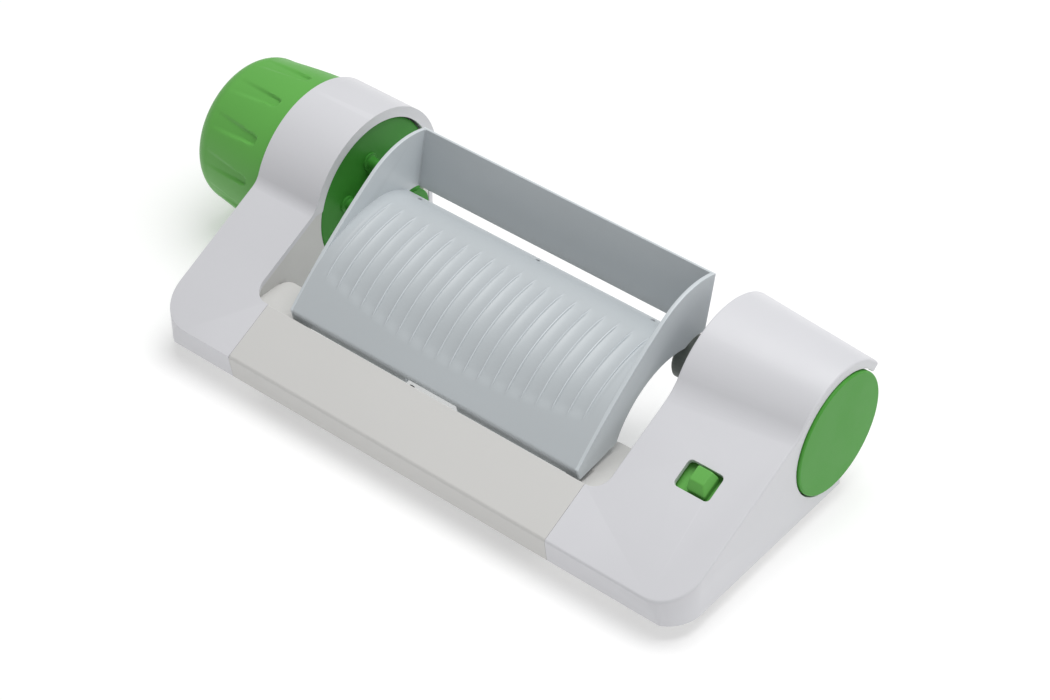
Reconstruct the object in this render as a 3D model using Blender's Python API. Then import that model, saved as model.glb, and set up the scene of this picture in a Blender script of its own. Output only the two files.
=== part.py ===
"""Hand-turned vegetable sheet slicer, modelled as an assembly of separate pieces.

Metres, +Z up. X runs along the spindle from the crank knob (left) to the pull disc (right),
Y runs from the front bar to the rear, and Z = 0 is the table under the rubber feet.
Side outlines are drawn as (y, z) from the spindle's axis and moved there by the solid makers.
"""
import math

import bmesh
import bpy
from mathutils import Matrix, Vector

for leftover in list(bpy.data.objects):
    bpy.data.objects.remove(leftover, do_unlink=True)

# Overall layout along the spindle
pull_disc_radius = 0.030
disc_stand_out = 0.0012
right_housing_width = 0.0618
working_gap = 0.2042
left_housing_width = 0.0376
knob_gap = 0.0008
knob_length = 0.0488

total_length = (disc_stand_out + right_housing_width + working_gap + left_housing_width + knob_gap
                + knob_length)
disc_face_x = total_length / 2
right_side_x = disc_face_x - disc_stand_out
right_inner_x = right_side_x - right_housing_width
left_inner_x = right_inner_x - working_gap
left_side_x = left_inner_x - left_housing_width
knob_start_x = left_side_x - knob_gap
knob_end_x = knob_start_x - knob_length

# Heights and depths, from the spindle's axis
foot_height = 0.009
spindle_over_edge = 0.0345
bottom_z = -spindle_over_edge
front_crest_y = -0.1142
front_lean = 0.0019
front_foot_y = front_crest_y + front_lean
bar_rear_y = -0.0865
left_arch_radius = 0.0439
right_arch_radius = 0.0397
side_taper = 0.0042

spindle_y = (-front_crest_y - left_arch_radius) / 2
spindle_z = spindle_over_edge + foot_height

# Shells
ramp_angle = math.radians(25.7)
ramp_height = 0.0303
left_blend = 0.010
right_blend = 0.024
rear_turn = math.radians(25)
cover_wall = 0.0025
inner_wall = 0.0022
bar_wall = 0.0025
floor_thickness = 0.0022
floor_lift = 0.0008
corner_radius = 0.018
inner_fillet = 0.0078
left_seam_reach = 0.010
right_seam_reach = 0.0082
boss_radius = 0.0036
touch_gap = 0.0003
hair = 0.00006
past = 0.001
well_past = 0.010
edge_round = 0.0016
floor_room = 0.001
floor_tongue = 0.012
floor_corner_cut = 0.012
swing_room = 0.0005
far_below = bottom_z - well_past
far_above = left_arch_radius + well_past
fit_gap = 0.0004
wall_split_z = 0.0103

# Screws and feet, u counted from a housing's outer side face
front_screw_u = 0.028
front_screw_y = -0.098
left_rear_screw_u = 0.016
right_rear_screw_u = 0.040
rear_screw_y = 0.0265
pilot_radius = 0.0016
pilot_depth = 0.012
screw_hole_radius = 0.0018
screw_shank_radius = 0.0012
screw_head_radius = 0.0030
screw_head_height = 0.0016
screw_length = 0.011
foot_left_u = 0.0165
foot_right_front_u = 0.018
foot_right_rear_u = 0.034
foot_front_y = -0.086
foot_rear_y = 0.014
foot_top_radius = 0.0062
foot_waist_radius = 0.0058
foot_waist_height = 0.004
foot_rim_radius = 0.0095
foot_rim_height = 0.0014
foot_cup_depth = 0.0020

# Drive end
disc_opening_radius = 0.0386
disc_room = 0.014
disc_hub_length = 0.010
shaft_end_recess = 0.0042
disc_screw_head = 0.002
disc_screw_length = 0.0135
knob_hub_inset = 0.008
drive_disc_radius = 0.0379
drive_disc_recess = 0.0015
drive_disc_thickness = 0.004
prong_count = 5
prong_circle = 0.019
prong_base_radius = 0.0030
prong_tip_radius = 0.0010
prong_length = 0.022
first_prong_angle = math.radians(97)
core_radius = 0.0112
core_length = 0.0247
core_bore = 0.0052
shaft_radius = 0.005
hub_radius = 0.009
bush_radius = 0.008
bush_flange = 0.0025
bearing_wall = 0.004
bearing_thickness = 0.003
bearing_foot = 0.010
knob_base_radius = 0.0415
knob_end_radius = 0.0362
knob_wall = 0.003
knob_edge = 0.011
flute_count = 12
flute_phase = math.radians(110.5)
flute_start = 0.0085
flute_length = 0.032
flute_inner_half = math.radians(3.6)
flute_outer_half = math.radians(8.0)
flute_depth = 0.0014

# Hood
hood_width = 0.1682
hood_left_gap = 0.0225
hood_wall = 0.002
hood_left_x = left_inner_x + hood_left_gap
hood_right_x = hood_left_x + hood_width
hood_tip = Vector((-0.0850, -0.0054))
hood_shoulder = Vector((-0.0286, 0.0380))
hood_top_centre = Vector((-0.0040, 0.0017))
hood_rear_top = Vector((0.0110, 0.0429))
hood_rear_foot = Vector((0.0048, 0.0134))
hood_skirt_foot = Vector((-0.0835, -0.0120))
hood_under_centre = Vector((-0.0210, -0.0260))
hood_under_radius = 0.0408
hood_under_start = math.radians(74)
hood_under_end = math.radians(155)
hood_rear_wall = 0.0021
ramp_knee = Vector((-0.0620, 0.0146))
ramp_crown = Vector((-0.0220, 0.0240))
ramp_lip = Vector((-0.0046, 0.0160))
ramp_thickness = 0.0022
ramp_lip_thickness = 0.0010
skirt_wall = 0.0018
skirt_lean = 0.0004
skirt_height = 0.0069
notch_width = 0.030
notch_height = 0.0035
stop_width = 0.0022
stop_from_middle = 0.0097
rod_centre = Vector((-0.0786, -0.0074))
lug_radius = 0.0027
lug_width = 0.004
lug_inset = 0.0035
lug_foot_y = -0.0715
rod_radius = 0.0015
rod_cover = 0.0008
blade_thickness = 0.0006
blade_depth = 0.013
blade_bevel = 0.0022
blade_forward = 0.00095
blade_drop = 0.0022
blade_screw_radius = 0.0011
blade_screw_share = 0.55
blade_screw_low = -0.0012
blade_screw_high = 0.0026
left_blade_screw_inset = 0.0135
right_blade_screw_inset = 0.0186
hood_spring_radius = 0.0024
hood_spring_wire = 0.0004
hood_spring_length = 0.0200
hood_spring_turns = 13
ledge_top_z = -0.0130
ledge_thickness = 0.0025
left_ledge_rear_y = -0.0635
right_ledge_rear_y = -0.0525
ledge_corner = 0.005
right_ledge_turn = 0.0076
ledge_under_hood = 0.0085

# Tailstock end
disc_clearance = 0.0008
disc_pocket_depth = 0.006
grip_from = math.radians(-80)
grip_to = math.radians(37)
grip_width = 0.024
pull_rim_length = 0.015
pull_rim_wall = 0.0025
pull_face_wall = 0.003
pull_boss_radius = 0.009
pull_boss_depth = 0.014
rod_seat = 0.0035
rim_round = 0.001
rod_body_radius = 0.006
groove_radius = 0.0042
groove_width = 0.0026
groove_pitch = 0.0055
groove_count = 5
head_radius = 0.011
head_length = 0.0225
head_reach = 0.0205
head_clearance = 0.0012
neck_step = 0.001
neck_length = 0.0105
pin_length = 0.009
pin_radius = 0.0013
pin_point = 0.004
tailstock_travel = 0.022
guide_wall = 0.004
guide_thickness = 0.0025
guide_gap = 0.0045
window_length = 0.0183
window_depth = 0.0136
window_corner = 0.0022
window_share = 0.44
window_centre_x = right_side_x - window_share * right_housing_width
window_centre_y = -0.0638
button_length = 0.0098
button_depth = 0.0109
button_off_x = 0.0014
button_off_y = 0.0002
button_shoulder = -0.0014
button_height = 0.0016
button_side_slope = 0.0025
button_front_slope = 0.0037
button_travel = 0.005
button_corner = 0.0008
slide_plate_length = 0.0256
slide_plate_depth = 0.0155
slide_plate_corner = 0.0015
slide_plate_thickness = 0.0016
slide_plate_off_x = 0.0018
slide_plate_under = 0.0061
wedge_depth = 0.005
pawl_offset = 0.0006
pawl_travel = 0.0016
pawl_width = 0.002
pawl_height = 0.003
collar_thickness = 0.001
latch_spring_radius = 0.0029
latch_spring_wire = 0.0003
latch_spring_start = 0.0007
latch_spring_length = 0.0105
latch_spring_turns = 6
post_thickness = 0.004
post_foot_width = 0.014
post_foot_depth = 0.014


def along_ramp(distance, height):
    """Point on the ramp's own axes: along the slope and square to it."""
    return Vector((distance * math.cos(ramp_angle) - height * math.sin(ramp_angle),
                   distance * math.sin(ramp_angle) + height * math.cos(ramp_angle)))


def arc(centre, radius, start, end, steps):
    """Points of an arc about centre, from one angle to another, ends included."""
    return [centre + radius * Vector((math.cos(start + (end - start) * i / steps),
                                      math.sin(start + (end - start) * i / steps)))
            for i in range(steps + 1)]


def bowed(start, end, bulge, steps):
    """Points from start to end, bowed to the left of the way by bulge at mid span."""
    way = end - start
    left = Vector((-way.y, way.x)).normalized()
    return [start + way * (i / steps) + left * bulge * 4 * (i / steps) * (1 - i / steps)
            for i in range(steps + 1)]


def solid(shape):
    """A working object that holds a finished bmesh, with its normals outward."""
    bmesh.ops.remove_doubles(shape, verts=shape.verts, dist=0.000005)
    bmesh.ops.recalc_face_normals(shape, faces=shape.faces)
    mesh = bpy.data.meshes.new("shape")
    shape.to_mesh(mesh)
    shape.free()
    item = bpy.data.objects.new("shape", mesh)
    bpy.context.scene.collection.objects.link(item)
    return item


def prism_x(outline, start_x, end_x, far_outline=None):
    """Solid between two x stations; outline is (y, z) from the spindle's axis."""
    far_outline = far_outline or outline
    shape = bmesh.new()
    verts = [shape.verts.new((start_x, spindle_y + p[0], spindle_z + p[1])) for p in outline]
    face = shape.faces.new(verts)
    made = bmesh.ops.extrude_face_region(shape, geom=[face])
    for vert in made["geom"]:
        if isinstance(vert, bmesh.types.BMVert):
            nearest = min(range(len(verts)), key=lambda i: (verts[i].co - vert.co).length)
            place = far_outline[nearest]
            vert.co = (end_x, spindle_y + place[0], spindle_z + place[1])
    return solid(shape)


def prism_z(outline, low_z, high_z):
    """Solid between two heights; outline is (x, y) with y from the spindle's axis."""
    shape = bmesh.new()
    verts = [shape.verts.new((p[0], spindle_y + p[1], spindle_z + low_z)) for p in outline]
    face = shape.faces.new(verts)
    made = bmesh.ops.extrude_face_region(shape, geom=[face])
    far = [v for v in made["geom"] if isinstance(v, bmesh.types.BMVert)]
    bmesh.ops.translate(shape, vec=(0, 0, high_z - low_z), verts=far)
    return solid(shape)


def box(low, high):
    """Upright block between two corners, y and z from the spindle's axis."""
    return prism_z([(low[0], low[1]), (high[0], low[1]), (high[0], high[1]), (low[0], high[1])],
                   low[2], high[2])


def profile_edges(shape, verts, radii):
    """Edges round a profile, but none along the turning axis itself."""
    count = len(verts)
    return [shape.edges.new((verts[i], verts[(i + 1) % count])) for i in range(count)
            if radii[i] > 0 or radii[(i + 1) % count] > 0]


def lathe_x(profile, centre=(0, 0), steps=48):
    """Turned solid about a line along X; profile is (x, radius) and closes on itself."""
    shape = bmesh.new()
    verts = [shape.verts.new((x, spindle_y + centre[0], spindle_z + centre[1] + r)) for x, r in profile]
    edges = profile_edges(shape, verts, [r for x, r in profile])
    bmesh.ops.spin(shape, geom=verts + edges, cent=(0, spindle_y + centre[0], spindle_z + centre[1]),
                   axis=(1, 0, 0), angle=2 * math.pi, steps=steps, use_merge=True)
    slivers = [e for e in shape.edges if e.calc_length() < 0.000005]
    bmesh.ops.dissolve_degenerate(shape, dist=0.000005, edges=slivers)
    return solid(shape)


def lathe_z(profile, x, y, steps=24):
    """Turned solid about an upright line at (x, y); profile is (radius, z)."""
    shape = bmesh.new()
    verts = [shape.verts.new((x + r, spindle_y + y, spindle_z + z)) for r, z in profile]
    edges = profile_edges(shape, verts, [r for r, z in profile])
    bmesh.ops.spin(shape, geom=verts + edges, cent=(x, spindle_y + y, 0),
                   axis=(0, 0, 1), angle=2 * math.pi, steps=steps, use_merge=True)
    slivers = [e for e in shape.edges if e.calc_length() < 0.000005]
    bmesh.ops.dissolve_degenerate(shape, dist=0.000005, edges=slivers)
    return solid(shape)


def cylinder_x(radius, start_x, end_x, centre=(0, 0), steps=48):
    return lathe_x([(start_x, 0), (start_x, radius), (end_x, radius), (end_x, 0)], centre, steps)


def cylinder_z(radius, x, y, low_z, high_z, steps=20):
    return lathe_z([(0, low_z), (radius, low_z), (radius, high_z), (0, high_z)], x, y, steps)


def combine(item, other, operation):
    """Apply one exact Boolean and drop the second solid."""
    change = item.modifiers.new("combine", "BOOLEAN")
    change.operation = operation
    change.solver = "EXACT"
    change.object = other
    made = bpy.data.meshes.new_from_object(item.evaluated_get(bpy.context.evaluated_depsgraph_get()))
    item.modifiers.clear()
    item.data = made
    bpy.data.objects.remove(other, do_unlink=True)
    shape = bmesh.new()
    shape.from_mesh(made)
    bmesh.ops.remove_doubles(shape, verts=shape.verts, dist=0.00001)
    bmesh.ops.dissolve_degenerate(shape, dist=0.00001, edges=shape.edges)
    shape.to_mesh(made)
    shape.free()
    return item


def cut(item, *others):
    for other in others:
        combine(item, other, "DIFFERENCE")
    return item


def fuse(item, *others):
    for other in others:
        combine(item, other, "UNION")
    return item


def overlap(item, other):
    return combine(item, other, "INTERSECT")


def round_edges(item, wanted, width, segments=2):
    """Bevel the edges that wanted picks by their middle and the angle between their faces."""
    shape = bmesh.new()
    shape.from_mesh(item.data)
    bmesh.ops.remove_doubles(shape, verts=shape.verts, dist=0.00002)
    bmesh.ops.dissolve_limit(shape, angle_limit=math.radians(0.5), verts=shape.verts, edges=shape.edges)
    edges = []
    for edge in shape.edges:
        if len(edge.link_faces) != 2:
            continue
        middle = (edge.verts[0].co + edge.verts[1].co) / 2
        place = Vector((middle.x, middle.y - spindle_y, middle.z - spindle_z))
        if edge.calc_face_angle() > math.radians(38) and wanted(place, edge):
            edges.append(edge)
    bmesh.ops.bevel(shape, geom=edges, offset=width, segments=segments, affect="EDGES", profile=0.5,
                    material=-1, clamp_overlap=True)
    shape.to_mesh(item.data)
    shape.free()
    return item


def plastic(name, colour, roughness, metallic=0.0):
    """One Principled material; colour is linear RGB."""
    made = bpy.data.materials.new(name)
    made.use_nodes = True
    shader = made.node_tree.nodes["Principled BSDF"]
    shader.inputs["Base Color"].default_value = (*colour, 1)
    shader.inputs["Roughness"].default_value = roughness
    shader.inputs["Metallic"].default_value = metallic
    made.diffuse_color = (*colour, 1)
    return made


cover_white = (0.68, 0.68, 0.70)
base_white = (0.62, 0.62, 0.61)
leaf_green = (0.09, 0.38, 0.06)
hood_grey = (0.43, 0.46, 0.48)
dark_grey = (0.06, 0.07, 0.06)
steel = (0.60, 0.60, 0.62)
bush_white = (0.75, 0.74, 0.70)
rubber_black = (0.03, 0.03, 0.03)


def finish(item, name, colour, roughness, metallic=0.0, pivot=(0, 0, 0)):
    """Name a solid, give it its own material and put its origin on the pivot."""
    pivot = Vector(pivot)
    item.data.transform(Matrix.Translation(-pivot))
    item.location = pivot
    item.name = name
    item.data.name = name
    item.data.materials.clear()
    item.data.materials.append(plastic(name, colour, roughness, metallic))
    for face in item.data.polygons:
        face.material_index = 0
    item.data.shade_smooth()
    item.data.set_sharp_from_angle(angle=math.radians(32))
    return item


def ramp_z(y, height=ramp_height):
    """Height of the ramp plane at y, both from the spindle's axis."""
    return height / math.cos(ramp_angle) + math.tan(ramp_angle) * y


def housing_outline(arch_radius, blend_radius, inset, low_z):
    """Teardrop side outline: front wall, ramp, concave blend, arch and rear wall."""
    radius = arch_radius - inset
    level = ramp_height - inset
    blend = blend_radius + inset
    lean = (front_crest_y - front_foot_y) / (ramp_z(front_crest_y) - bottom_z)
    base = level / math.cos(ramp_angle)
    crest_y = ((front_foot_y + inset + lean * (base - bottom_z))
               / (1 - lean * math.tan(ramp_angle)))
    foot_y = front_foot_y + inset + lean * (low_z - bottom_z)
    back = -math.sqrt((radius + blend) ** 2 - (level + blend) ** 2)
    centre = along_ramp(back, level + blend)
    down = math.atan2(-math.cos(ramp_angle), math.sin(ramp_angle))
    inward = math.atan2(-centre.y, -centre.x)
    points = [Vector((foot_y, low_z)), Vector((crest_y, base + math.tan(ramp_angle) * crest_y))]
    points += arc(centre, blend, down, inward, 6)
    points += arc(Vector((0, 0)), radius, math.atan2(centre.y, centre.x), -rear_turn, 26)[1:]
    points.append(Vector((points[-1].x, low_z)))
    return points


class End:
    """One end housing: station(u) counts from its outer side face towards the middle."""

    def __init__(self, side_x, direction, width, radius, blend, taper, seam_reach, rear_screw):
        self.side_x = side_x
        self.direction = direction
        self.width = width
        self.radius = radius
        self.blend = blend
        self.seam_reach = seam_reach
        self.taper = taper
        self.rear_screw = rear_screw

    def station(self, u):
        return self.side_x + self.direction * u

    def side_solid(self, inset, start_u, end_u, low_z=bottom_z):
        """Solid of the side outline between two stations, tapered towards the outer side."""
        def section(u):
            fall = self.taper * (1 - u / self.width)
            return housing_outline(self.radius - fall, self.blend, inset, low_z)
        return prism_x(section(start_u), self.station(start_u), self.station(end_u), section(end_u))

    def plan_solid(self, inset, inner_u, low_z, high_z, corner=None):
        """Upright solid of the plan, with its rounded front corner; reaches the seam if corner."""
        radius = corner_radius - inset
        front = front_crest_y + inset
        points = [Vector((inset, far_above))]
        points += arc(Vector((corner_radius, front + radius)), radius, math.pi, 1.5 * math.pi, 6)
        if corner:
            reach = self.width + self.seam_reach
            points += [Vector((reach, front)), Vector((reach, bar_rear_y))]
            points += arc(Vector((inner_u + corner, bar_rear_y + corner)), corner,
                          -0.5 * math.pi, -math.pi, 5)
        else:
            points.append(Vector((inner_u, front)))
        points.append(Vector((inner_u, far_above)))
        return prism_z([(self.station(p.x), p.y) for p in points], low_z, high_z)


left_end = End(left_side_x, 1, left_housing_width, left_arch_radius, left_blend, 0.0,
               left_seam_reach, left_rear_screw_u)
right_end = End(right_side_x, -1, right_housing_width, right_arch_radius, right_blend, side_taper,
                right_seam_reach, right_rear_screw_u)


floor_top_z = bottom_z + floor_lift + floor_thickness + touch_gap


def screw_places(end):
    """Where each cover is screwed to the base: one front and one rear boss."""
    return [(end.station(front_screw_u), front_screw_y), (end.station(end.rear_screw), rear_screw_y)]


def cover(end):
    """Upper shell of one end: outer body, hollowed from below, open where the base closes it."""
    reach = end.width + end.seam_reach
    inside = end.width - inner_wall
    low_x = min(end.station(0), end.station(reach + 2 * past))
    high_x = max(end.station(0), end.station(reach + 2 * past))
    body = overlap(end.side_solid(0, -hair, reach + past),
                   end.plan_solid(0, end.width, far_below, far_above, inner_fillet))

    def outer_edge(place, edge):
        off_seam = abs(place.x - end.station(reach)) > hair
        return place.z > bottom_z + touch_gap and off_seam
    round_edges(body, outer_edge, edge_round, 2)
    hollow = overlap(end.side_solid(cover_wall, cover_wall, inside, far_below),
                     end.plan_solid(cover_wall, inside + past, far_below - past, far_above))
    corner = overlap(end.side_solid(cover_wall + hair, inside - 0.5 * past, reach + past, far_below),
                     box((low_x, front_crest_y, far_below - past),
                         (high_x, bar_rear_y + inner_fillet, 0)))
    below = overlap(end.side_solid(cover_wall + 2 * hair, inside - 0.5 * past, end.width + past, far_below),
                    box((low_x, front_crest_y, far_below - past),
                        (high_x, far_above, wall_split_z + fit_gap)))
    cut(body, hollow, corner, below)
    for x, y in screw_places(end):
        top = ramp_z(y - boss_radius)
        if y > 0:
            fall = end.taper * (1 - end.rear_screw / end.width)
            top = math.sqrt((end.radius - fall) ** 2 - (y + boss_radius) ** 2)
        top -= 0.5 * cover_wall
        fuse(body, cylinder_z(boss_radius, x, y, floor_top_z, top, 16))
        cut(body, cylinder_z(pilot_radius, x, y, bottom_z, bottom_z + pilot_depth, 12))
    return body


def make_left_housing():
    body = cover(left_end)
    middle = (left_inner_x + left_side_x) / 2
    cut(body, cylinder_x(disc_opening_radius, middle, left_inner_x + well_past, steps=64),
        cylinder_x(bush_radius + touch_gap, left_side_x - well_past, left_side_x + well_past, steps=32))
    finish(body, "left_housing", cover_white, 0.32)


def rounded_window(length, depth, radius):
    """Plan of a rounded rectangle about the origin."""
    points = []
    for turn, (sx, sy) in enumerate(((1, 1), (-1, 1), (-1, -1), (1, -1))):
        centre = Vector((sx * (length / 2 - radius), sy * (depth / 2 - radius)))
        points += arc(centre, radius, turn * math.pi / 2, (turn + 1) * math.pi / 2, 4)
    return points


def on_ramp(outline, low, *levels):
    """Solid on the ramp at the window: an outline at a low level, then (outline, height) pairs above it."""
    shape = bmesh.new()
    border = [shape.verts.new((p[0], p[1], low)) for p in outline]
    base = shape.faces.new(border)
    face = base
    for points, height in levels:
        made = bmesh.ops.extrude_face_region(shape, geom=[face])
        if face is not base:
            bmesh.ops.delete(shape, geom=[face], context="FACES_ONLY")
        face = next(item for item in made["geom"] if isinstance(item, bmesh.types.BMFace))
        border = [min(face.verts, key=lambda v: (v.co - old.co).length) for old in border]
        for vert, point in zip(border, points):
            vert.co = (point[0], point[1], height)
    place = Vector((window_centre_x, spindle_y + window_centre_y, spindle_z + button_face_z))
    turn = Matrix.Rotation(ramp_angle, 4, "X")
    bmesh.ops.transform(shape, matrix=Matrix.Translation(place) @ turn, verts=shape.verts)
    return solid(shape)


button_face_z = ramp_z(window_centre_y)


def make_right_housing():
    body = cover(right_end)
    cut(body, cylinder_x(pull_disc_radius + disc_clearance, right_side_x - disc_pocket_depth,
                         right_side_x + well_past, steps=64))
    window = rounded_window(window_length, window_depth, window_corner)
    cut(body, on_ramp(window, -well_past, (window, well_past)))
    cut(body, cylinder_x(head_radius + head_clearance, right_inner_x - well_past, right_inner_x + well_past,
                         steps=40))
    grip = [Vector((0, 0))] + arc(Vector((0, 0)), 3 * pull_disc_radius, grip_from, grip_to, 8)
    cut(body, prism_x(grip, right_side_x - grip_width, right_side_x + well_past))
    finish(body, "right_housing", cover_white, 0.32)


def bar_outline(inset, low_z):
    """Side outline of the front bar: leaning front wall, sloped top and upright rear wall."""
    outline = housing_outline(left_arch_radius, left_blend, inset, low_z)
    rear = bar_rear_y - inset
    top = ramp_z(rear, ramp_height - inset)
    return [outline[0], outline[1], Vector((rear, top)), Vector((rear, low_z))]


def base_floor(end):
    """Floor plate under one cover, its rear outer corner cut off, running into the front bar's hollow."""
    side = cover_wall + fit_gap
    front = front_foot_y + side + floor_room
    radius = corner_radius - side
    reach = end.width + end.seam_reach + floor_tongue
    inner = end.width - fit_gap
    rear = (end.radius - end.taper) * math.cos(rear_turn) - side
    points = [Vector((side + floor_corner_cut, rear)), Vector((side, rear - floor_corner_cut))]
    points += arc(Vector((side + radius, front + radius)), radius, math.pi, 1.5 * math.pi, 6)
    points += [Vector((reach, front)), Vector((reach, bar_rear_y - past)),
               Vector((inner, bar_rear_y - past)), Vector((inner, rear))]
    low = bottom_z + floor_lift
    return prism_z([(end.station(p.x), p.y) for p in points], low, low + floor_thickness)


def base_wall(end):
    """Upright plate that closes the lower inner side of one cover."""
    inset = cover_wall + fit_gap
    plate = end.side_solid(inset, end.width - inner_wall - fit_gap, end.width - fit_gap, bottom_z + floor_lift)
    low_x = min(end.station(0), end.station(end.width))
    high_x = max(end.station(0), end.station(end.width))
    return overlap(plate, box((low_x, bar_rear_y - 1.5 * past, far_below), (high_x, far_above, wall_split_z)))


def ledge(end, length, rear_y, far_corner):
    """Shelf behind the bar, under the hood's end, with rounded rear corners."""
    start = end.width - inner_wall
    reach = end.width + length
    turn = rear_y - ledge_corner
    points = [Vector((start, bar_rear_y - past)), Vector((start, turn))]
    points += arc(Vector((end.width + ledge_corner, turn)), ledge_corner, math.pi, 0.5 * math.pi, 5)
    points += arc(Vector((reach - far_corner, rear_y - far_corner)), far_corner, 0.5 * math.pi, 0, 5)
    points.append(Vector((reach, bar_rear_y - past)))
    return prism_z([(end.station(p.x), p.y) for p in points], ledge_top_z - ledge_thickness, ledge_top_z)


def hinge_lug(low_x):
    """Lug on a ledge that carries the hinge rod from behind, clear of the hood's swing."""
    foot_z = ledge_top_z - past
    points = arc(rod_centre, lug_radius, math.radians(35), math.radians(310), 14)
    points += [Vector((lug_foot_y, foot_z)), Vector((lug_foot_y + 1.2 * lug_width, foot_z))]
    return prism_x(points, low_x, low_x + lug_width)


def make_base_frame():
    left_seam = left_end.station(left_end.width + left_seam_reach) + touch_gap
    right_seam = right_end.station(right_end.width + right_seam_reach) - touch_gap
    bar = prism_x(bar_outline(0, bottom_z), left_seam, right_seam)

    def crest(place, edge):
        along = abs(edge.verts[0].co.x - edge.verts[1].co.x)
        return place.z > bottom_z + 2 * past and along > 0.5 * working_gap
    round_edges(bar, crest, edge_round, 2)
    cut(bar, prism_x(bar_outline(bar_wall, far_below), left_seam - past, right_seam + past))
    swing_radius = (hood_skirt_foot - rod_centre).length + swing_room
    ledge_ends = ((left_end, hood_left_x + ledge_under_hood, left_ledge_rear_y, ledge_corner),
                  (right_end, hood_right_x - ledge_under_hood, right_ledge_rear_y, right_ledge_turn))
    for end, reach_x, rear_y, far_corner in ledge_ends:
        shelf = ledge(end, abs(reach_x - end.station(end.width)), rear_y, far_corner)
        cut(shelf, cylinder_x(swing_radius, hood_left_x - 2 * touch_gap, hood_right_x + 2 * touch_gap,
                              rod_centre, 40))
        fuse(bar, base_floor(end), base_wall(end), shelf)
    for low_x in (hood_left_x + lug_inset, hood_right_x - lug_inset - lug_width):
        fuse(bar, hinge_lug(low_x))
    cut(bar, cylinder_x(disc_opening_radius, left_inner_x - disc_room, left_inner_x + well_past, steps=64),
        cylinder_x(head_radius + 0.5 * head_clearance, right_inner_x - well_past, right_inner_x + well_past,
                   steps=40),
        cylinder_x(rod_radius + touch_gap, hood_left_x, hood_right_x, rod_centre, 16))
    for end in (left_end, right_end):
        for x, y in screw_places(end):
            cut(bar, cylinder_z(screw_hole_radius, x, y, far_below, bottom_z + 0.5 * pilot_depth, 12))
    finish(bar, "base_frame", base_white, 0.38)


def make_feet():
    """Four rubber feet, each a flared cup under the floor plates."""
    low = -spindle_z
    top = bottom_z + floor_lift - touch_gap
    profile = [(0, top), (foot_top_radius, top), (foot_waist_radius, low + foot_waist_height),
               (0.97 * foot_rim_radius, low + foot_rim_height), (foot_rim_radius, low),
               (0.63 * foot_rim_radius, low), (0.47 * foot_rim_radius, low + 0.7 * foot_cup_depth),
               (0, low + foot_cup_depth)]
    places = {"front_left": (left_end.station(foot_left_u), foot_front_y),
              "rear_left": (left_end.station(foot_left_u), foot_rear_y),
              "front_right": (right_end.station(foot_right_front_u), foot_front_y),
              "rear_right": (right_end.station(foot_right_rear_u), foot_rear_y)}
    for where, (x, y) in places.items():
        finish(lathe_z(profile, x, y, 20), "foot_" + where, rubber_black, 0.75)


def make_housing_screws():
    """Four screws that pass up through the floors into the covers' bosses."""
    low = bottom_z + floor_lift - touch_gap
    head_low = low - screw_head_height
    profile = [(0, head_low), (0.93 * screw_head_radius, head_low), (screw_head_radius, low),
               (screw_shank_radius, low), (screw_shank_radius, low + screw_length - past),
               (0, low + screw_length)]
    for side, end in (("left", left_end), ("right", right_end)):
        for row, (x, y) in zip(("front", "rear"), screw_places(end)):
            finish(lathe_z(profile, x, y, 12), "housing_screw_" + row + "_" + side, steel, 0.35, 1.0)


hub_end_x = knob_end_x + knob_hub_inset
disc_face = left_inner_x - drive_disc_recess
disc_back = disc_face - drive_disc_thickness
shaft_end_x = disc_face - shaft_end_recess
disc_hub_back = disc_back - disc_hub_length
core_end_x = disc_face + core_length


def knob_radius(x):
    """Outer radius of the crank knob at x, before its flutes."""
    share = max(0.0, (knob_start_x - x) / knob_length)
    return knob_base_radius + (knob_end_radius - knob_base_radius) * share ** 1.5


def flute_cut(x, angle):
    """Depth of the tongue-shaped flutes at a place on the knob's skin."""
    along = knob_start_x - flute_start - x
    if along <= 0:
        return 0.0
    share = min(1.0, along / flute_length)
    end_round = 0.09 * flute_length
    half = flute_inner_half + (flute_outer_half - flute_inner_half) * share
    if along < end_round:
        half *= math.sqrt(1 - (1 - along / end_round) ** 2)
    pitch = 2 * math.pi / flute_count
    off = (angle - flute_phase + 0.5 * pitch) % pitch - 0.5 * pitch
    inside = max(0.0, min(1.0, 1.8 * (1 - abs(off) / half)))
    return flute_depth * (1 - share ** 1.5) * inside


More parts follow.
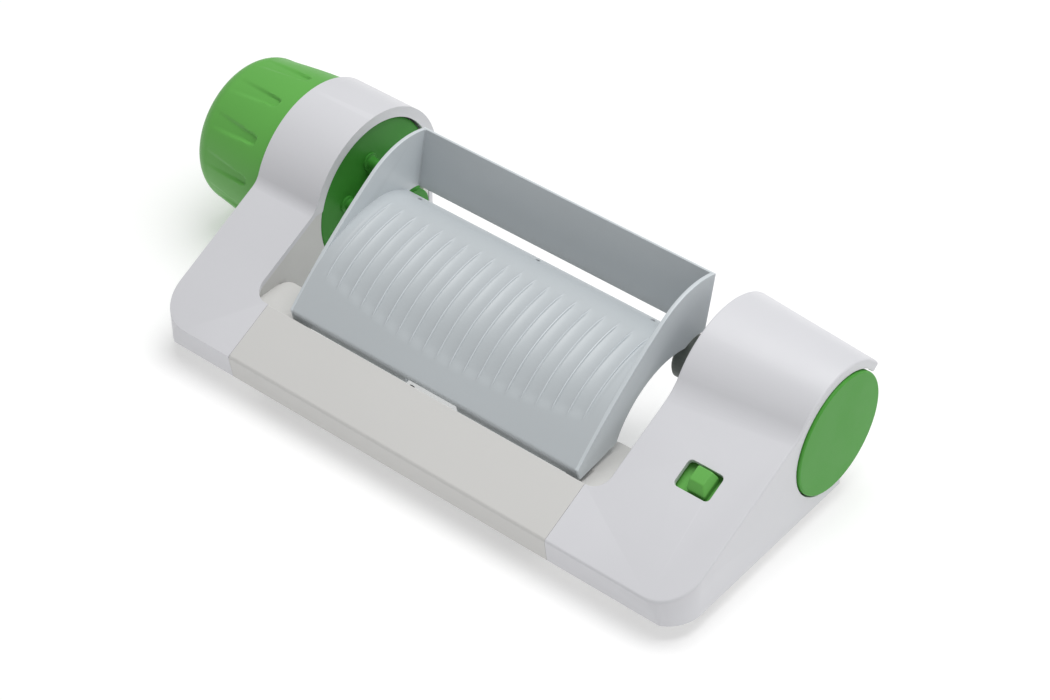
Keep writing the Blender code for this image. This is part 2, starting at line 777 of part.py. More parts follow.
def make_crank_knob():
    """Hollow fluted knob with a central hub for the shaft."""
    edge_x = knob_end_x + knob_edge
    edge_radius = knob_radius(edge_x) - knob_edge
    lip = 0.1 * knob_edge
    skin_start = knob_start_x - flute_start
    count = 8
    profile = [(knob_start_x, knob_radius(knob_start_x) - lip), (knob_start_x - lip, knob_radius(knob_start_x))]
    profile += [(skin_start + (edge_x - skin_start) * i / count,
                 knob_radius(skin_start + (edge_x - skin_start) * i / count)) for i in range(count + 1)]
    profile += [(edge_x - knob_edge * math.sin(a), edge_radius + knob_edge * math.cos(a))
                for a in (math.pi / 8, math.pi / 4, 3 * math.pi / 8)]
    bore = shaft_radius + touch_gap
    profile += [(knob_end_x, edge_radius), (knob_end_x, 0), (hub_end_x - knob_wall, 0),
                (hub_end_x - knob_wall, bore),
                (knob_start_x + hair, bore), (knob_start_x + hair, hub_radius),
                (knob_end_x + knob_wall, hub_radius), (knob_end_x + knob_wall, edge_radius),
                (edge_x, knob_radius(edge_x) - knob_wall), (knob_start_x, knob_radius(knob_start_x) - knob_wall)]
    steps = 8 * flute_count
    item = lathe_x(profile, steps=steps)
    turn = (flute_phase - 0.5 * math.pi) % (2 * math.pi / steps)
    for vert in item.data.vertices:
        y = vert.co.y - spindle_y
        z = vert.co.z - spindle_z
        radius = math.hypot(y, z)
        angle = math.atan2(z, y) + turn
        skin = knob_radius(vert.co.x) if vert.co.x > edge_x else edge_radius
        if radius > skin - 0.5 * knob_wall and radius > hub_radius:
            fade = min(1.0, (radius - edge_radius) / (0.5 * knob_edge)) if vert.co.x < edge_x else 1.0
            radius -= flute_cut(vert.co.x, angle) * max(0.0, fade)
        vert.co.y = spindle_y + radius * math.cos(angle)
        vert.co.z = spindle_z + radius * math.sin(angle)
    finish(item, "crank_knob", leaf_green, 0.38, pivot=(0, spindle_y, spindle_z))


def make_drive():
    """Shaft, pronged disc with its core, and its centre screw, all turning about the spindle's axis."""
    axis = (0, spindle_y, spindle_z)
    screw_radius = 0.3 * shaft_radius
    shaft = cylinder_x(shaft_radius, hub_end_x - knob_wall + fit_gap, shaft_end_x, steps=32)
    cut(shaft, cylinder_x(screw_radius + touch_gap, disc_face - disc_screw_length - 3 * past,
                          shaft_end_x + 2 * past, steps=16))
    finish(shaft, "drive_shaft", steel, 0.3, 1.0, axis)
    bevel = 0.04 * drive_disc_radius
    disc = lathe_x([(disc_face, core_radius), (disc_face, drive_disc_radius - bevel),
                    (disc_face - bevel, drive_disc_radius), (disc_back, drive_disc_radius), (disc_back, hub_radius),
                    (disc_hub_back, hub_radius), (disc_hub_back, shaft_radius + touch_gap),
                    (shaft_end_x + touch_gap, shaft_radius + touch_gap),
                    (shaft_end_x + touch_gap, screw_radius + touch_gap), (disc_face, screw_radius + touch_gap),
                    (disc_face, core_bore), (core_end_x, core_bore), (core_end_x, core_radius)], steps=60)
    tip_x = disc_face + prong_length
    sunk_x = disc_face - 0.25 * drive_disc_thickness
    for i in range(prong_count):
        angle = first_prong_angle + i * 2 * math.pi / prong_count
        place = prong_circle * Vector((math.cos(angle), math.sin(angle)))
        prong = lathe_x([(sunk_x, 0), (sunk_x, prong_base_radius),
                         (tip_x - 2 * prong_tip_radius, prong_tip_radius), (tip_x, 0)], place, 16)
        fuse(disc, prong)
    finish(disc, "drive_disc", leaf_green, 0.4, pivot=axis)
    head_x = disc_face + touch_gap
    end_x = head_x - disc_screw_length
    screw = lathe_x([(head_x + disc_screw_head, 0), (head_x + disc_screw_head, 2 * screw_radius),
                     (head_x, 2.4 * screw_radius), (head_x, screw_radius), (end_x + past, screw_radius),
                     (end_x, 0)], steps=20)
    finish(screw, "disc_screw", steel, 0.3, 1.0, axis)


def ring(start_x, end_x, outer, inner, steps=32):
    return lathe_x([(start_x, inner), (start_x, outer), (end_x, outer), (end_x, inner)], steps=steps)


def upright_plate(head_radius_z, foot_half, low):
    """Side outline of a plate with a round head about the spindle and a wider foot."""
    outline = [Vector((-foot_half, low)), Vector((foot_half, low)), Vector((head_radius_z, 0))]
    return outline + arc(Vector((0, 0)), head_radius_z, 0, math.pi, 14)[1:]


def make_bearings():
    """Two plain bushes, the bracket that carries the inner one, and the shaft's retaining clip."""
    bore = shaft_radius + touch_gap
    flange_radius = bush_radius + bush_flange
    start = left_side_x + 0.5 * touch_gap
    flange_x = start + cover_wall + touch_gap
    flange_end = flange_x + 0.6 * bush_flange
    bush = lathe_x([(start, bore), (start, bush_radius), (flange_x, bush_radius), (flange_x, flange_radius),
                    (flange_end, flange_radius), (flange_end, bore)], steps=32)
    finish(bush, "outer_bush", bush_white, 0.4)
    clip_x = flange_end + 0.5 * bush_flange
    clip_end = clip_x + 0.2 * shaft_radius
    finish(ring(clip_x, clip_end, bush_radius, bore, 24), "shaft_clip", steel, 0.35, 1.0)
    bracket_x = disc_hub_back - 1.5 * bearing_thickness
    foot_half = 2 * bush_radius
    foot_top = floor_top_z + floor_thickness
    outline = upright_plate(bush_radius + bearing_wall, 0.95 * foot_half, 0.5 * (floor_top_z + foot_top))
    bracket = prism_x(outline, bracket_x - bearing_thickness, bracket_x)
    fuse(bracket, box((bracket_x - bearing_foot, -foot_half, floor_top_z),
                      (bracket_x + hair, foot_half, foot_top)))
    cut(bracket, cylinder_x(bush_radius + touch_gap, bracket_x - 2 * bearing_thickness,
                            bracket_x + bearing_thickness, steps=32))
    finish(bracket, "bearing_bracket", base_white, 0.4)
    bush_out = 0.5 * touch_gap
    finish(ring(bracket_x - bearing_thickness - bush_out, bracket_x + bush_out, bush_radius, bore), "inner_bush",
           bush_white, 0.4)


def hood_wall_outline():
    """Side wall of the hood: bowed top edge, arch, leaning rear edge and concave lower edge."""
    start = math.atan2(*(hood_shoulder - hood_top_centre).yx)
    end = math.atan2(*(hood_rear_top - hood_top_centre).yx)
    radius = (hood_rear_top - hood_top_centre).length
    points = bowed(hood_tip, hood_shoulder, 0.0019, 5)
    points += arc(hood_top_centre, radius, start, end, 12)[1:]
    under = arc(hood_under_centre, hood_under_radius, hood_under_start, hood_under_end, 9)
    points += bowed(hood_rear_foot, under[0], -0.0016, 4)
    points += under[1:]
    points.append(hood_skirt_foot)
    return points


def ramp_line():
    """Top line of the hood's ramp from its front edge to its rear lip."""
    return (bowed(hood_tip, ramp_knee, 0.0004, 2) + bowed(ramp_knee, ramp_crown, 0.0030, 6)[1:]
            + bowed(ramp_crown, ramp_lip, 0.0013, 5)[1:])


def ramp_underside(line):
    """Line below the ramp's top line; the ramp thins behind its crown towards the lip."""
    lower = []
    last = len(line) - 1
    for i, point in enumerate(line):
        way = line[min(i + 1, last)] - line[max(i - 1, 0)]
        behind = max(0.0, (point.x - ramp_crown.x) / (ramp_lip.x - ramp_crown.x))
        thickness = ramp_thickness + (ramp_lip_thickness - ramp_thickness) * behind
        lower.append(point + Vector((way.y, -way.x)).normalized() * thickness)
    return lower


def hood_hollow():
    """Everything between the hood's walls that is open: over the ramp, under it and the slot."""
    line = ramp_line()
    lower = ramp_underside(line)
    skirt_inner = hood_skirt_foot + Vector((skirt_wall, 0))
    rear_step = Vector((-hood_rear_wall, 0))
    rear_way = (hood_rear_foot - hood_rear_top).normalized()
    points = [hood_tip + Vector((-2 * past, 0.2 * past))] + line[1:] + lower[:0:-1]
    points += [skirt_inner + Vector((skirt_lean, skirt_height)), skirt_inner + Vector((0, -3 * past))]
    points += [hood_rear_foot + rear_step + rear_way * 2 * well_past,
               hood_rear_top + rear_step - rear_way * 2 * well_past]
    points.append(Vector((hood_tip.x - 2 * past, far_above)))
    return points


blade_end_x = hood_left_x + hood_wall + touch_gap
blade_slope = math.radians(24)
blade_lip = ramp_lip + Vector((blade_forward, -blade_drop))
blade_back = blade_lip + Vector((-math.cos(blade_slope), math.sin(blade_slope))) * blade_depth
blade_screw_xs = {"left": hood_left_x + left_blade_screw_inset, "middle": hood_left_x + 0.5 * hood_width,
                  "right": hood_right_x - right_blade_screw_inset}


def blade_point(share, height):
    """Point in the blade's plane: share of its depth back from the edge, and height above it."""
    way = blade_back - blade_lip
    up = Vector((way.y, -way.x)).normalized()
    return blade_lip + way * share + up * height


def along_blade_normal(radius, x, share, low, high, steps=12):
    """Short pin square to the blade."""
    shape = bmesh.new()
    bmesh.ops.create_cone(shape, cap_ends=True, segments=steps, radius1=radius, radius2=radius, depth=high - low)
    foot = blade_point(share, 0.5 * (low + high))
    normal = (blade_point(share, 1) - blade_point(share, 0)).normalized()
    turn = Vector((0, 0, 1)).rotation_difference(Vector((0, normal.x, normal.y))).to_matrix().to_4x4()
    place = Matrix.Translation((x, spindle_y + foot.x, spindle_z + foot.y))
    bmesh.ops.transform(shape, matrix=place @ turn, verts=shape.verts)
    return solid(shape)


def make_hood():
    """Tilting hood: two walls, a domed ramp, the rear bar and a front skirt with a notch."""
    hood = prism_x(hood_wall_outline(), hood_left_x, hood_right_x)
    cut(hood, prism_x(hood_hollow(), hood_left_x + hood_wall, hood_right_x - hood_wall))
    middle = (hood_left_x + hood_right_x) / 2
    cut(hood, box((middle - notch_width / 2, hood_tip.x - 2 * past, hood_skirt_foot.y - past),
                  (middle + notch_width / 2, hood_skirt_foot.x + 4 * past, hood_skirt_foot.y + notch_height)),
        cylinder_x(rod_radius + touch_gap, hood_left_x + rod_cover, hood_right_x - rod_cover, rod_centre, 16))
    for x in blade_screw_xs.values():
        cut(hood, along_blade_normal(blade_screw_radius + touch_gap, x, blade_screw_share, 0, well_past))
    pivot = (0, spindle_y + rod_centre.x, spindle_z + rod_centre.y)
    finish(hood, "blade_hood", hood_grey, 0.34, pivot=pivot)
    edge = blade_bevel / blade_depth
    blade = prism_x([blade_point(0, 0.0001), blade_point(edge, 0.5 * blade_thickness),
                     blade_point(1, 0.5 * blade_thickness), blade_point(1, -0.5 * blade_thickness),
                     blade_point(edge, -0.5 * blade_thickness), blade_point(0, -0.0001)],
                    blade_end_x, hood_right_x - hood_wall - touch_gap)
    for where, x in blade_screw_xs.items():
        cut(blade, along_blade_normal(blade_screw_radius + touch_gap, x, blade_screw_share,
                                      -3 * past, 3 * past))
        pin = along_blade_normal(blade_screw_radius, x, blade_screw_share, blade_screw_low, blade_screw_high)
        seat = -0.5 * blade_thickness - touch_gap
        head = along_blade_normal(2 * blade_screw_radius, x, blade_screw_share, seat + blade_screw_low, seat)
        finish(fuse(pin, head), "blade_screw_" + where, steel, 0.35, 1.0, pivot)
    finish(blade, "blade", steel, 0.2, 1.0, pivot)


def coil(centre, radius, wire, start, length, turns, axis, name):
    """Coil spring as one unbroken tube along X or Y; prints its least gap to itself."""
    per_turn = 9
    count = turns * per_turn
    curve = bpy.data.curves.new(name, "CURVE")
    curve.dimensions = "3D"
    curve.bevel_depth = wire
    curve.bevel_resolution = 1
    curve.use_fill_caps = True
    line = curve.splines.new("POLY")
    line.points.add(count)
    places = []
    for i in range(count + 1):
        angle = 2 * math.pi * i / per_turn
        step = start + length * i / count
        side = radius * math.cos(angle)
        rise = radius * math.sin(angle)
        if axis == "X":
            place = Vector((step, centre[0] + side, centre[1] + rise))
        else:
            place = Vector((centre[0] + side, step, centre[1] + rise))
        place += Vector((0, spindle_y, spindle_z))
        places.append(place)
        line.points[i].co = (*place, 1)
    gap = min((places[i] - places[j]).length for i in range(count + 1)
              for j in range(i + per_turn // 2, count + 1)) - 2 * wire
    print(name, "least gap to itself", round(gap * 1000, 3), "mm")
    item = bpy.data.objects.new(name, curve)
    bpy.context.scene.collection.objects.link(item)
    curve.materials.append(plastic(name, steel, 0.3, 1.0))


def make_hinge():
    """Rod that the hood turns on, its steadying spring, and the rubber stop in the skirt's notch."""
    rod = cylinder_x(rod_radius, hood_left_x + rod_cover + fit_gap, hood_right_x - rod_cover - fit_gap,
                     rod_centre, 16)
    finish(rod, "hinge_rod", steel, 0.3, 1.0)
    middle = (hood_left_x + hood_right_x) / 2
    coil(rod_centre, hood_spring_radius, hood_spring_wire, middle - 0.5 * hood_spring_length,
         hood_spring_length, hood_spring_turns, "X", "hood_spring")
    stop_x = middle - stop_from_middle
    stop_y = bar_rear_y + touch_gap
    stop_top = hood_skirt_foot.y + 0.7 * notch_height
    stop = box((stop_x - 0.5 * stop_width, stop_y, stop_top - 0.9 * stop_width),
               (stop_x + 0.5 * stop_width, stop_y + 0.5 * stop_width, stop_top))
    finish(stop, "hood_stop", rubber_black, 0.75)


pull_inner_x = disc_face_x - pull_face_wall
rod_start_x = disc_face_x - pull_boss_depth + rod_seat
pawl_x = window_centre_x - pawl_offset
head_end_x = right_inner_x - head_reach
head_back_x = head_end_x + head_length
guide_left_x = head_back_x + tailstock_travel + past
guide_right_x = disc_face_x - pull_rim_length - guide_gap
rod_end_x = head_back_x - neck_length


def make_tailstock():
    """Pull disc and grooved rod that slide together, and the head that turns on the rod."""
    axis = (0, spindle_y, spindle_z)
    radius = pull_disc_radius
    rim_inner = radius - pull_rim_wall
    rim_end = pull_inner_x - pull_rim_length
    edge_cut = 0.3 * rim_round
    pull = lathe_x([(disc_face_x, 0), (disc_face_x, radius - rim_round), (disc_face_x - edge_cut, radius - edge_cut),
                    (disc_face_x - rim_round, radius), (rim_end, radius), (rim_end, rim_inner),
                    (pull_inner_x, rim_inner), (pull_inner_x, pull_boss_radius), (rod_start_x, pull_boss_radius),
                    (rod_start_x, 0)], steps=72)
    finish(pull, "tailstock_pull", leaf_green, 0.36, pivot=axis)
    profile = [(rod_start_x - touch_gap, 0), (rod_start_x - touch_gap, rod_body_radius)]
    for i in range(groove_count):
        middle = pawl_x - i * groove_pitch
        profile += [(middle + groove_width / 2, rod_body_radius), (middle + groove_width / 2, groove_radius),
                    (middle - groove_width / 2, groove_radius), (middle - groove_width / 2, rod_body_radius)]
    neck_x = head_back_x + touch_gap
    neck_radius = rod_body_radius - neck_step
    profile += [(neck_x, rod_body_radius), (neck_x, neck_radius), (rod_end_x, neck_radius), (rod_end_x, 0)]
    finish(lathe_x(profile, steps=32), "tailstock_rod", base_white, 0.4, pivot=axis)
    bore_end = rod_end_x - touch_gap
    head = lathe_x([(head_end_x, pin_radius + touch_gap), (head_end_x, head_radius - rim_round),
                    (head_end_x + rim_round, head_radius), (head_back_x, head_radius),
                    (head_back_x, neck_radius + touch_gap), (bore_end, neck_radius + touch_gap),
                    (bore_end, pin_radius + touch_gap)], steps=40)
    finish(head, "tailstock_head", dark_grey, 0.45, pivot=axis)
    pin_back = bore_end - touch_gap
    pin_tip = head_end_x - pin_length
    pin = lathe_x([(pin_back, 0), (pin_back, pin_radius), (pin_tip + pin_point, pin_radius), (pin_tip, 0)],
                  steps=16)
    finish(pin, "centre_pin", steel, 0.3, 1.0, axis)


def make_tailstock_guide():
    """Two upright plates on one foot that the rod slides through."""
    bore = rod_body_radius + touch_gap
    foot_half = 2 * rod_body_radius
    foot_top = floor_top_z + floor_thickness
    outline = upright_plate(rod_body_radius + guide_wall, 0.95 * foot_half, 0.5 * (floor_top_z + foot_top))
    guide = box((guide_left_x - hair, -foot_half, floor_top_z), (guide_right_x + hair, foot_half, foot_top))
    for start in (guide_left_x, guide_right_x - guide_thickness):
        fuse(guide, prism_x(outline, start, start + guide_thickness))
    cut(guide, cylinder_x(bore, guide_left_x - 2 * past, guide_right_x + 2 * past, steps=32))
    finish(guide, "tailstock_guide", base_white, 0.4)


pawl_low = -0.0050
pawl_high = pawl_low + pawl_height
wedge_slope = pawl_travel / button_travel
tail_y = -0.0565
post_y = -0.031
collar_y = -0.0445


def wedge_y(x):
    """Slanted face of the button's wedge at rest."""
    return tail_y - touch_gap + wedge_slope * (x - pawl_x)


def make_latch():
    """Slide button with its wedge, the pawl it pushes, the pawl's post and return spring."""
    under = slide_plate_under
    offset = Vector((button_off_x, button_off_y))
    block = [p + offset for p in rounded_window(button_length, button_depth, button_corner)]
    crown_offset = offset + Vector((-0.5 * button_side_slope, 0.5 * button_front_slope))
    crown = [p + crown_offset for p in rounded_window(button_length - button_side_slope,
                                                      button_depth - button_front_slope,
                                                      button_corner)]
    button = on_ramp(block, -under + hair, (block, button_shoulder), (crown, button_height))
    plate = [p + Vector((slide_plate_off_x, 0))
             for p in rounded_window(slide_plate_length, slide_plate_depth, slide_plate_corner)]
    fuse(button, on_ramp(plate, -under, (plate, -under + slide_plate_thickness)))
    plate_z = ramp_z(wedge_y(pawl_x) - 2 * past) - (under - 0.5 * slide_plate_thickness) / math.cos(ramp_angle)
    start = pawl_x - pawl_width
    end = pawl_x + button_travel + pawl_width
    back = tail_y - wedge_depth
    wedge = prism_z([(start, wedge_y(start)), (start, back), (end, back), (end, wedge_y(end))],
                    pawl_low - 0.5 * past, plate_z)
    fuse(button, wedge)
    finish(button, "release_button", leaf_green, 0.36)
    left = pawl_x - 0.5 * pawl_width
    right = pawl_x + 0.5 * pawl_width
    tip_y = -rod_body_radius - 2 * touch_gap
    pawl = prism_z([(left, tip_y), (left, tail_y + wedge_slope * (left - pawl_x)),
                    (right, tail_y + wedge_slope * (right - pawl_x)), (right, tip_y)], pawl_low, pawl_high)
    collar = 0.5 * pawl_height
    fuse(pawl, box((pawl_x - pawl_height, collar_y - collar_thickness, pawl_low - collar),
                   (pawl_x + pawl_height, collar_y, pawl_high + collar)))
    finish(pawl, "latch_pawl", dark_grey, 0.4)
    post = box((pawl_x - 2 * pawl_width, post_y, floor_top_z),
               (pawl_x + 2 * pawl_width, post_y + post_thickness, pawl_high + pawl_height))
    middle_y = post_y + 0.5 * post_thickness
    fuse(post, box((pawl_x - 0.5 * post_foot_width, middle_y - 0.5 * post_foot_depth, floor_top_z - hair),
                   (pawl_x + 0.5 * post_foot_width, middle_y + 0.5 * post_foot_depth, floor_top_z + floor_thickness)))
    cut(post, box((left - fit_gap, middle_y - post_foot_depth, pawl_low - fit_gap),
                  (right + fit_gap, middle_y + post_foot_depth, pawl_high + fit_gap)))
    finish(post, "latch_bracket", base_white, 0.4)
    coil((pawl_x, 0.5 * (pawl_low + pawl_high)), latch_spring_radius, latch_spring_wire,
         collar_y + latch_spring_start, latch_spring_length, latch_spring_turns, "Y", "latch_spring")


make_base_frame()
make_left_housing()
make_right_housing()
make_feet()
make_housing_screws()
make_crank_knob()
make_drive()
make_bearings()
make_hood()
make_hinge()
make_tailstock()
make_tailstock_guide()
make_latch()
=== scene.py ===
"""Looks of the hand-turned vegetable sheet slicer: finer shapes for what shows, materials, light and camera.

Metres, +Z up. Side outlines are drawn as (y, z) from the spindle's axis, as in the part's source.
"""
import math

import bmesh
import bpy
from mathutils import Matrix, Vector


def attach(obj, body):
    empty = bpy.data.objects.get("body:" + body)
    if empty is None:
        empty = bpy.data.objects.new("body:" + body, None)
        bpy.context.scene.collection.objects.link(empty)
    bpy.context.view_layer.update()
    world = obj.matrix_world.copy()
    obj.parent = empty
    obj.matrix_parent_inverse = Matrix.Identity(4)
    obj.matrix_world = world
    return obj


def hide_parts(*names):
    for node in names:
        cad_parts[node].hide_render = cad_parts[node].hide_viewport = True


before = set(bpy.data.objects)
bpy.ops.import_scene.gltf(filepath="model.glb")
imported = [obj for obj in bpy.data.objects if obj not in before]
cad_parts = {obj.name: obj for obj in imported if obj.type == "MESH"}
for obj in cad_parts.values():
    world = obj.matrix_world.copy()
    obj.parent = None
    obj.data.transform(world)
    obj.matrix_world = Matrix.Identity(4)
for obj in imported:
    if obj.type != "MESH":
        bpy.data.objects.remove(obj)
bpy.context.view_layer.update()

# Layout along the spindle
pull_disc_radius = 0.030
disc_stand_out = 0.0012
right_housing_width = 0.0618
working_gap = 0.2042
left_housing_width = 0.0376
knob_gap = 0.0008
knob_length = 0.0488
total_length = (disc_stand_out + right_housing_width + working_gap + left_housing_width + knob_gap
                + knob_length)
disc_face_x = total_length / 2
right_side_x = disc_face_x - disc_stand_out
right_inner_x = right_side_x - right_housing_width
left_inner_x = right_inner_x - working_gap
left_side_x = left_inner_x - left_housing_width
knob_start_x = left_side_x - knob_gap
knob_end_x = knob_start_x - knob_length

# Heights and depths from the spindle's axis
foot_height = 0.009
spindle_over_edge = 0.0345
bottom_z = -spindle_over_edge
front_crest_y = -0.1142
front_lean = 0.0019
front_foot_y = front_crest_y + front_lean
bar_rear_y = -0.0865
bar_front_band = -0.11
bar_rear_band = -0.09
left_arch_radius = 0.0439
right_arch_radius = 0.0397
side_taper = 0.0042
spindle_y = (-front_crest_y - left_arch_radius) / 2
spindle_z = spindle_over_edge + foot_height

# How far cutting shapes run past, how near counts as on, and what merges
past = 0.001
well_past = 0.010
side_past = 0.005
far_below = bottom_z - well_past
far_out = left_arch_radius + well_past
tolerance = 0.0001
skin_band = 0.0003
edge_band = 0.0005
long_edge = 0.1
merge_gap = 0.000005
boolean_merge_gap = 0.00001
bevel_merge_gap = 0.00002
sheet_merge_gap = 0.000002
flat_angle = math.radians(0.3)
sharp_angle = math.radians(34)

# Shells
ramp_angle = math.radians(25.7)
ramp_height = 0.0303
left_blend = 0.010
right_blend = 0.024
rear_turn = math.radians(25)
cover_wall = 0.0025
inner_wall = 0.0022
bar_wall = 0.0025
floor_thickness = 0.0022
floor_lift = 0.0008
floor_room = 0.001
floor_tongue = 0.012
wall_tuck = 0.0015
corner_radius = 0.018
crest_round = 0.0014
inner_fillet = 0.0078
inner_edge_reach = 0.0087
inner_edge_round = 0.0008
inner_cut_start = 0.0005
left_seam_reach = 0.010
right_seam_reach = 0.0082
seam_gap = 0.00014
touch_gap = 0.0003
fit_gap = 0.0004
hair = 0.00006
floor_corner_cut = 0.012
wall_split_z = 0.0103

# Drive end
disc_room = 0.014
disc_opening_radius = 0.0386
drive_disc_radius = 0.0379
drive_disc_recess = 0.0015
drive_disc_thickness = 0.004
disc_edge_round = 0.0016
disc_soft_edge = 0.0008
disc_hub_length = 0.010
disc_screw_share = 0.3
prong_count = 5
prong_circle = 0.019
prong_base_radius = 0.0030
prong_tip_radius = 0.0010
prong_length = 0.022
prong_point = 0.0020
prong_nose = 0.0008
prong_nose_share = 0.75
first_prong_angle = math.radians(97)
drop_height = 0.0010
drop_radius = 0.0043
drop_off = 0.0006
drop_tail_radius = 0.0115
drop_tail_turn = 0.12
drop_round = 0.0004
core_radius = 0.0112
core_length = 0.0247
core_bore = 0.0052
shaft_radius = 0.005
shaft_end_recess = 0.0042
hub_radius = 0.009
bush_radius = 0.008
knob_base_radius = 0.0415
knob_end_radius = 0.0362
knob_edge = 0.011
knob_wall = 0.003
knob_swell = 1.5
knob_lip = 0.0012
knob_lip_drop = 0.0010
knob_lip_break = 0.0003
skin_depth = 0.0015
flute_fade_share = 0.8
flute_count = 12
flute_phase = math.radians(110.5)
flute_start = 0.0085
flute_length = 0.032
flute_inner_half = math.radians(3.6)
flute_outer_half = math.radians(8.0)
flute_depth = 0.0014
flute_fade = 1.5
flute_round_share = 0.09
flute_flank_share = 0.45
disc_face = left_inner_x - drive_disc_recess
disc_back = disc_face - drive_disc_thickness
disc_hub_back = disc_back - disc_hub_length
shaft_end_x = disc_face - shaft_end_recess
core_end_x = disc_face + core_length

# Hood
hood_width = 0.1682
hood_left_gap = 0.0225
hood_wall = 0.002
hood_left_x = left_inner_x + hood_left_gap
hood_right_x = hood_left_x + hood_width
hood_middle_x = (hood_left_x + hood_right_x) / 2
hood_tip = Vector((-0.0850, -0.0054))
hood_shoulder = Vector((-0.0286, 0.0380))
hood_top_centre = Vector((-0.0040, 0.0017))
hood_rear_top = Vector((0.0110, 0.0429))
hood_rear_foot = Vector((0.0048, 0.0134))
hood_skirt_foot = Vector((-0.0835, -0.0120))
hood_under_centre = Vector((-0.0210, -0.0260))
hood_under_radius = 0.0408
hood_under_start = math.radians(74)
hood_under_end = math.radians(155)
hood_rear_wall = 0.0021
hood_top_bow = 0.0019
hood_rear_bow = 0.0016
hood_edge_round = 0.00045
hollow_front = -0.004
hollow_below = -0.020
hollow_above = 0.062
hollow_foot_reach = 0.026
hollow_top_reach = 0.020
ramp_knee = Vector((-0.0620, 0.0146))
ramp_crown = Vector((-0.0220, 0.0240))
ramp_lip = Vector((-0.0046, 0.0160))
ramp_front_bow = 0.0004
ramp_middle_bow = 0.0030
ramp_rear_bow = 0.0013
smoothing_rounds = 60
ramp_thickness = 0.0022
ramp_lip_thickness = 0.0010
ramp_columns = 500
ramp_seat_share = 0.6
skirt_thickness = 0.0018
skirt_steps = 6
skirt_inner_rise = Vector((0.0004, 0.0069))
tip_shares = (0.11, 0.04, 0.30)
tip_swell = Vector((0.00012, 0))
tip_settle = Vector((0.0001, -0.00006))
notch_width = 0.030
notch_height = 0.0035
notch_front = 0.002
notch_rear = 0.004
rod_centre = Vector((-0.0786, -0.0074))
lug_radius = 0.0027
lug_width = 0.004
lug_inset = 0.0035
lug_foot_y = -0.0715
lug_foot_share = 1.2
lug_start = math.radians(35)
lug_end = math.radians(310)
rod_radius = 0.0015
rod_cover = 0.0008
rib_count = 20
rib_pitch = 0.00785
rib_height = 0.00060
rib_half_width = 0.00045
rib_crown = 1.3
panel_dip = 0.00060
panel_shift = 0.0001
panel_front_y = -0.0769
panel_front_sag = 0.0062
panel_half_width = 0.075
panel_front_fade = 0.0045
panel_rear_y = -0.0225
panel_rear_fade = 0.009
panel_side_fade = 0.0030
ledge_top_z = -0.0130
ledge_thickness = 0.0025
left_ledge_rear_y = -0.0635
right_ledge_rear_y = -0.0525
ledge_corner = 0.005
right_ledge_turn = 0.0076
ledge_under_hood = 0.0085
ledge_round = 0.0005
swing_room = 0.0005
swing_side_room = 0.0006

# Tailstock end
pull_rim_length = 0.015
pull_rim_wall = 0.0025
pull_face_wall = 0.003
pull_boss_radius = 0.009
pull_boss_reach = 0.0105
rim_round = 0.0010
disc_clearance = 0.0008
disc_pocket_depth = 0.006
grip_radius = 0.09
grip_depth = 0.024
grip_start = math.radians(-80)
grip_end = math.radians(37)
head_radius = 0.011
head_room_cover = 0.0012
head_room_base = 0.0006
window_length = 0.0183
window_depth = 0.0136
window_corner = 0.0022
window_edge_share = 0.52
window_edge_round = 0.00035
window_cut_low = -0.008
window_cut_high = 0.006
window_share = 0.44
window_centre_x = right_side_x - window_share * right_housing_width
window_centre_y = -0.0638
button_length = 0.0098
button_depth = 0.0109
button_off_x = 0.0014
button_off_y = 0.0002
button_shoulder = -0.0014
button_height = 0.0016
button_side_slope = 0.0025
button_front_slope = 0.0037
button_corner = 0.0008
button_round = 0.0004
button_root = -0.0060
button_raised_band = 0.0002
slide_plate_length = 1.40 * window_length
slide_plate_depth = 1.14 * window_depth
slide_plate_corner = 0.0015
slide_plate_off_x = 0.0018
slide_plate_low = -0.0061
slide_plate_high = -0.0045

# Surroundings and camera
floor_half_size = 6.0
floor_roughness = 0.9
floor_glow = 0.42
world_strength = 0.36
light_target = (0, 0, 0.03)
photo_width_px = 1050
focal_px = 2727.08
sensor_width = 36.0
camera_place = (disc_face_x + 0.44035, -0.71238, 0.84707)
white = (1.0, 1.0, 1.0, 1)


def along_ramp(distance, height):
    """Point on the ramp's own axes: along the slope and square to it."""
    return Vector((distance * math.cos(ramp_angle) - height * math.sin(ramp_angle),
                   distance * math.sin(ramp_angle) + height * math.cos(ramp_angle)))


def heading(angle):
    """Unit step in the direction of an angle."""
    return Vector((math.cos(angle), math.sin(angle)))


def arc(centre, radius, start, end, steps):
    """Points of an arc about centre, from one angle to another, ends included."""
    return [centre + radius * heading(start + (end - start) * i / steps) for i in range(steps + 1)]


def bowed(start, end, bulge, steps):
    """Points from start to end, bowed to the left of the way by bulge at mid span."""
    way = end - start
    left = Vector((-way.y, way.x)).normalized()
    return [start + way * (i / steps) + left * bulge * 4 * (i / steps) * (1 - i / steps)
            for i in range(steps + 1)]


def quarter(steps):
    """Angles of a quarter turn, without its start."""
    return [0.5 * math.pi * i / steps for i in range(1, steps + 1)]


def smooth_step(value):
    """Eased 0 to 1 between 0 and 1."""
    share = max(0.0, min(1.0, value))
    return share * share * (3 - 2 * share)


def solid(shape):
    """A working object that holds a finished bmesh, with its normals outward."""
    bmesh.ops.remove_doubles(shape, verts=shape.verts, dist=merge_gap)
    bmesh.ops.recalc_face_normals(shape, faces=shape.faces)
    mesh = bpy.data.meshes.new("shape")
    shape.to_mesh(mesh)
    shape.free()
    item = bpy.data.objects.new("shape", mesh)
    bpy.context.scene.collection.objects.link(item)
    return item


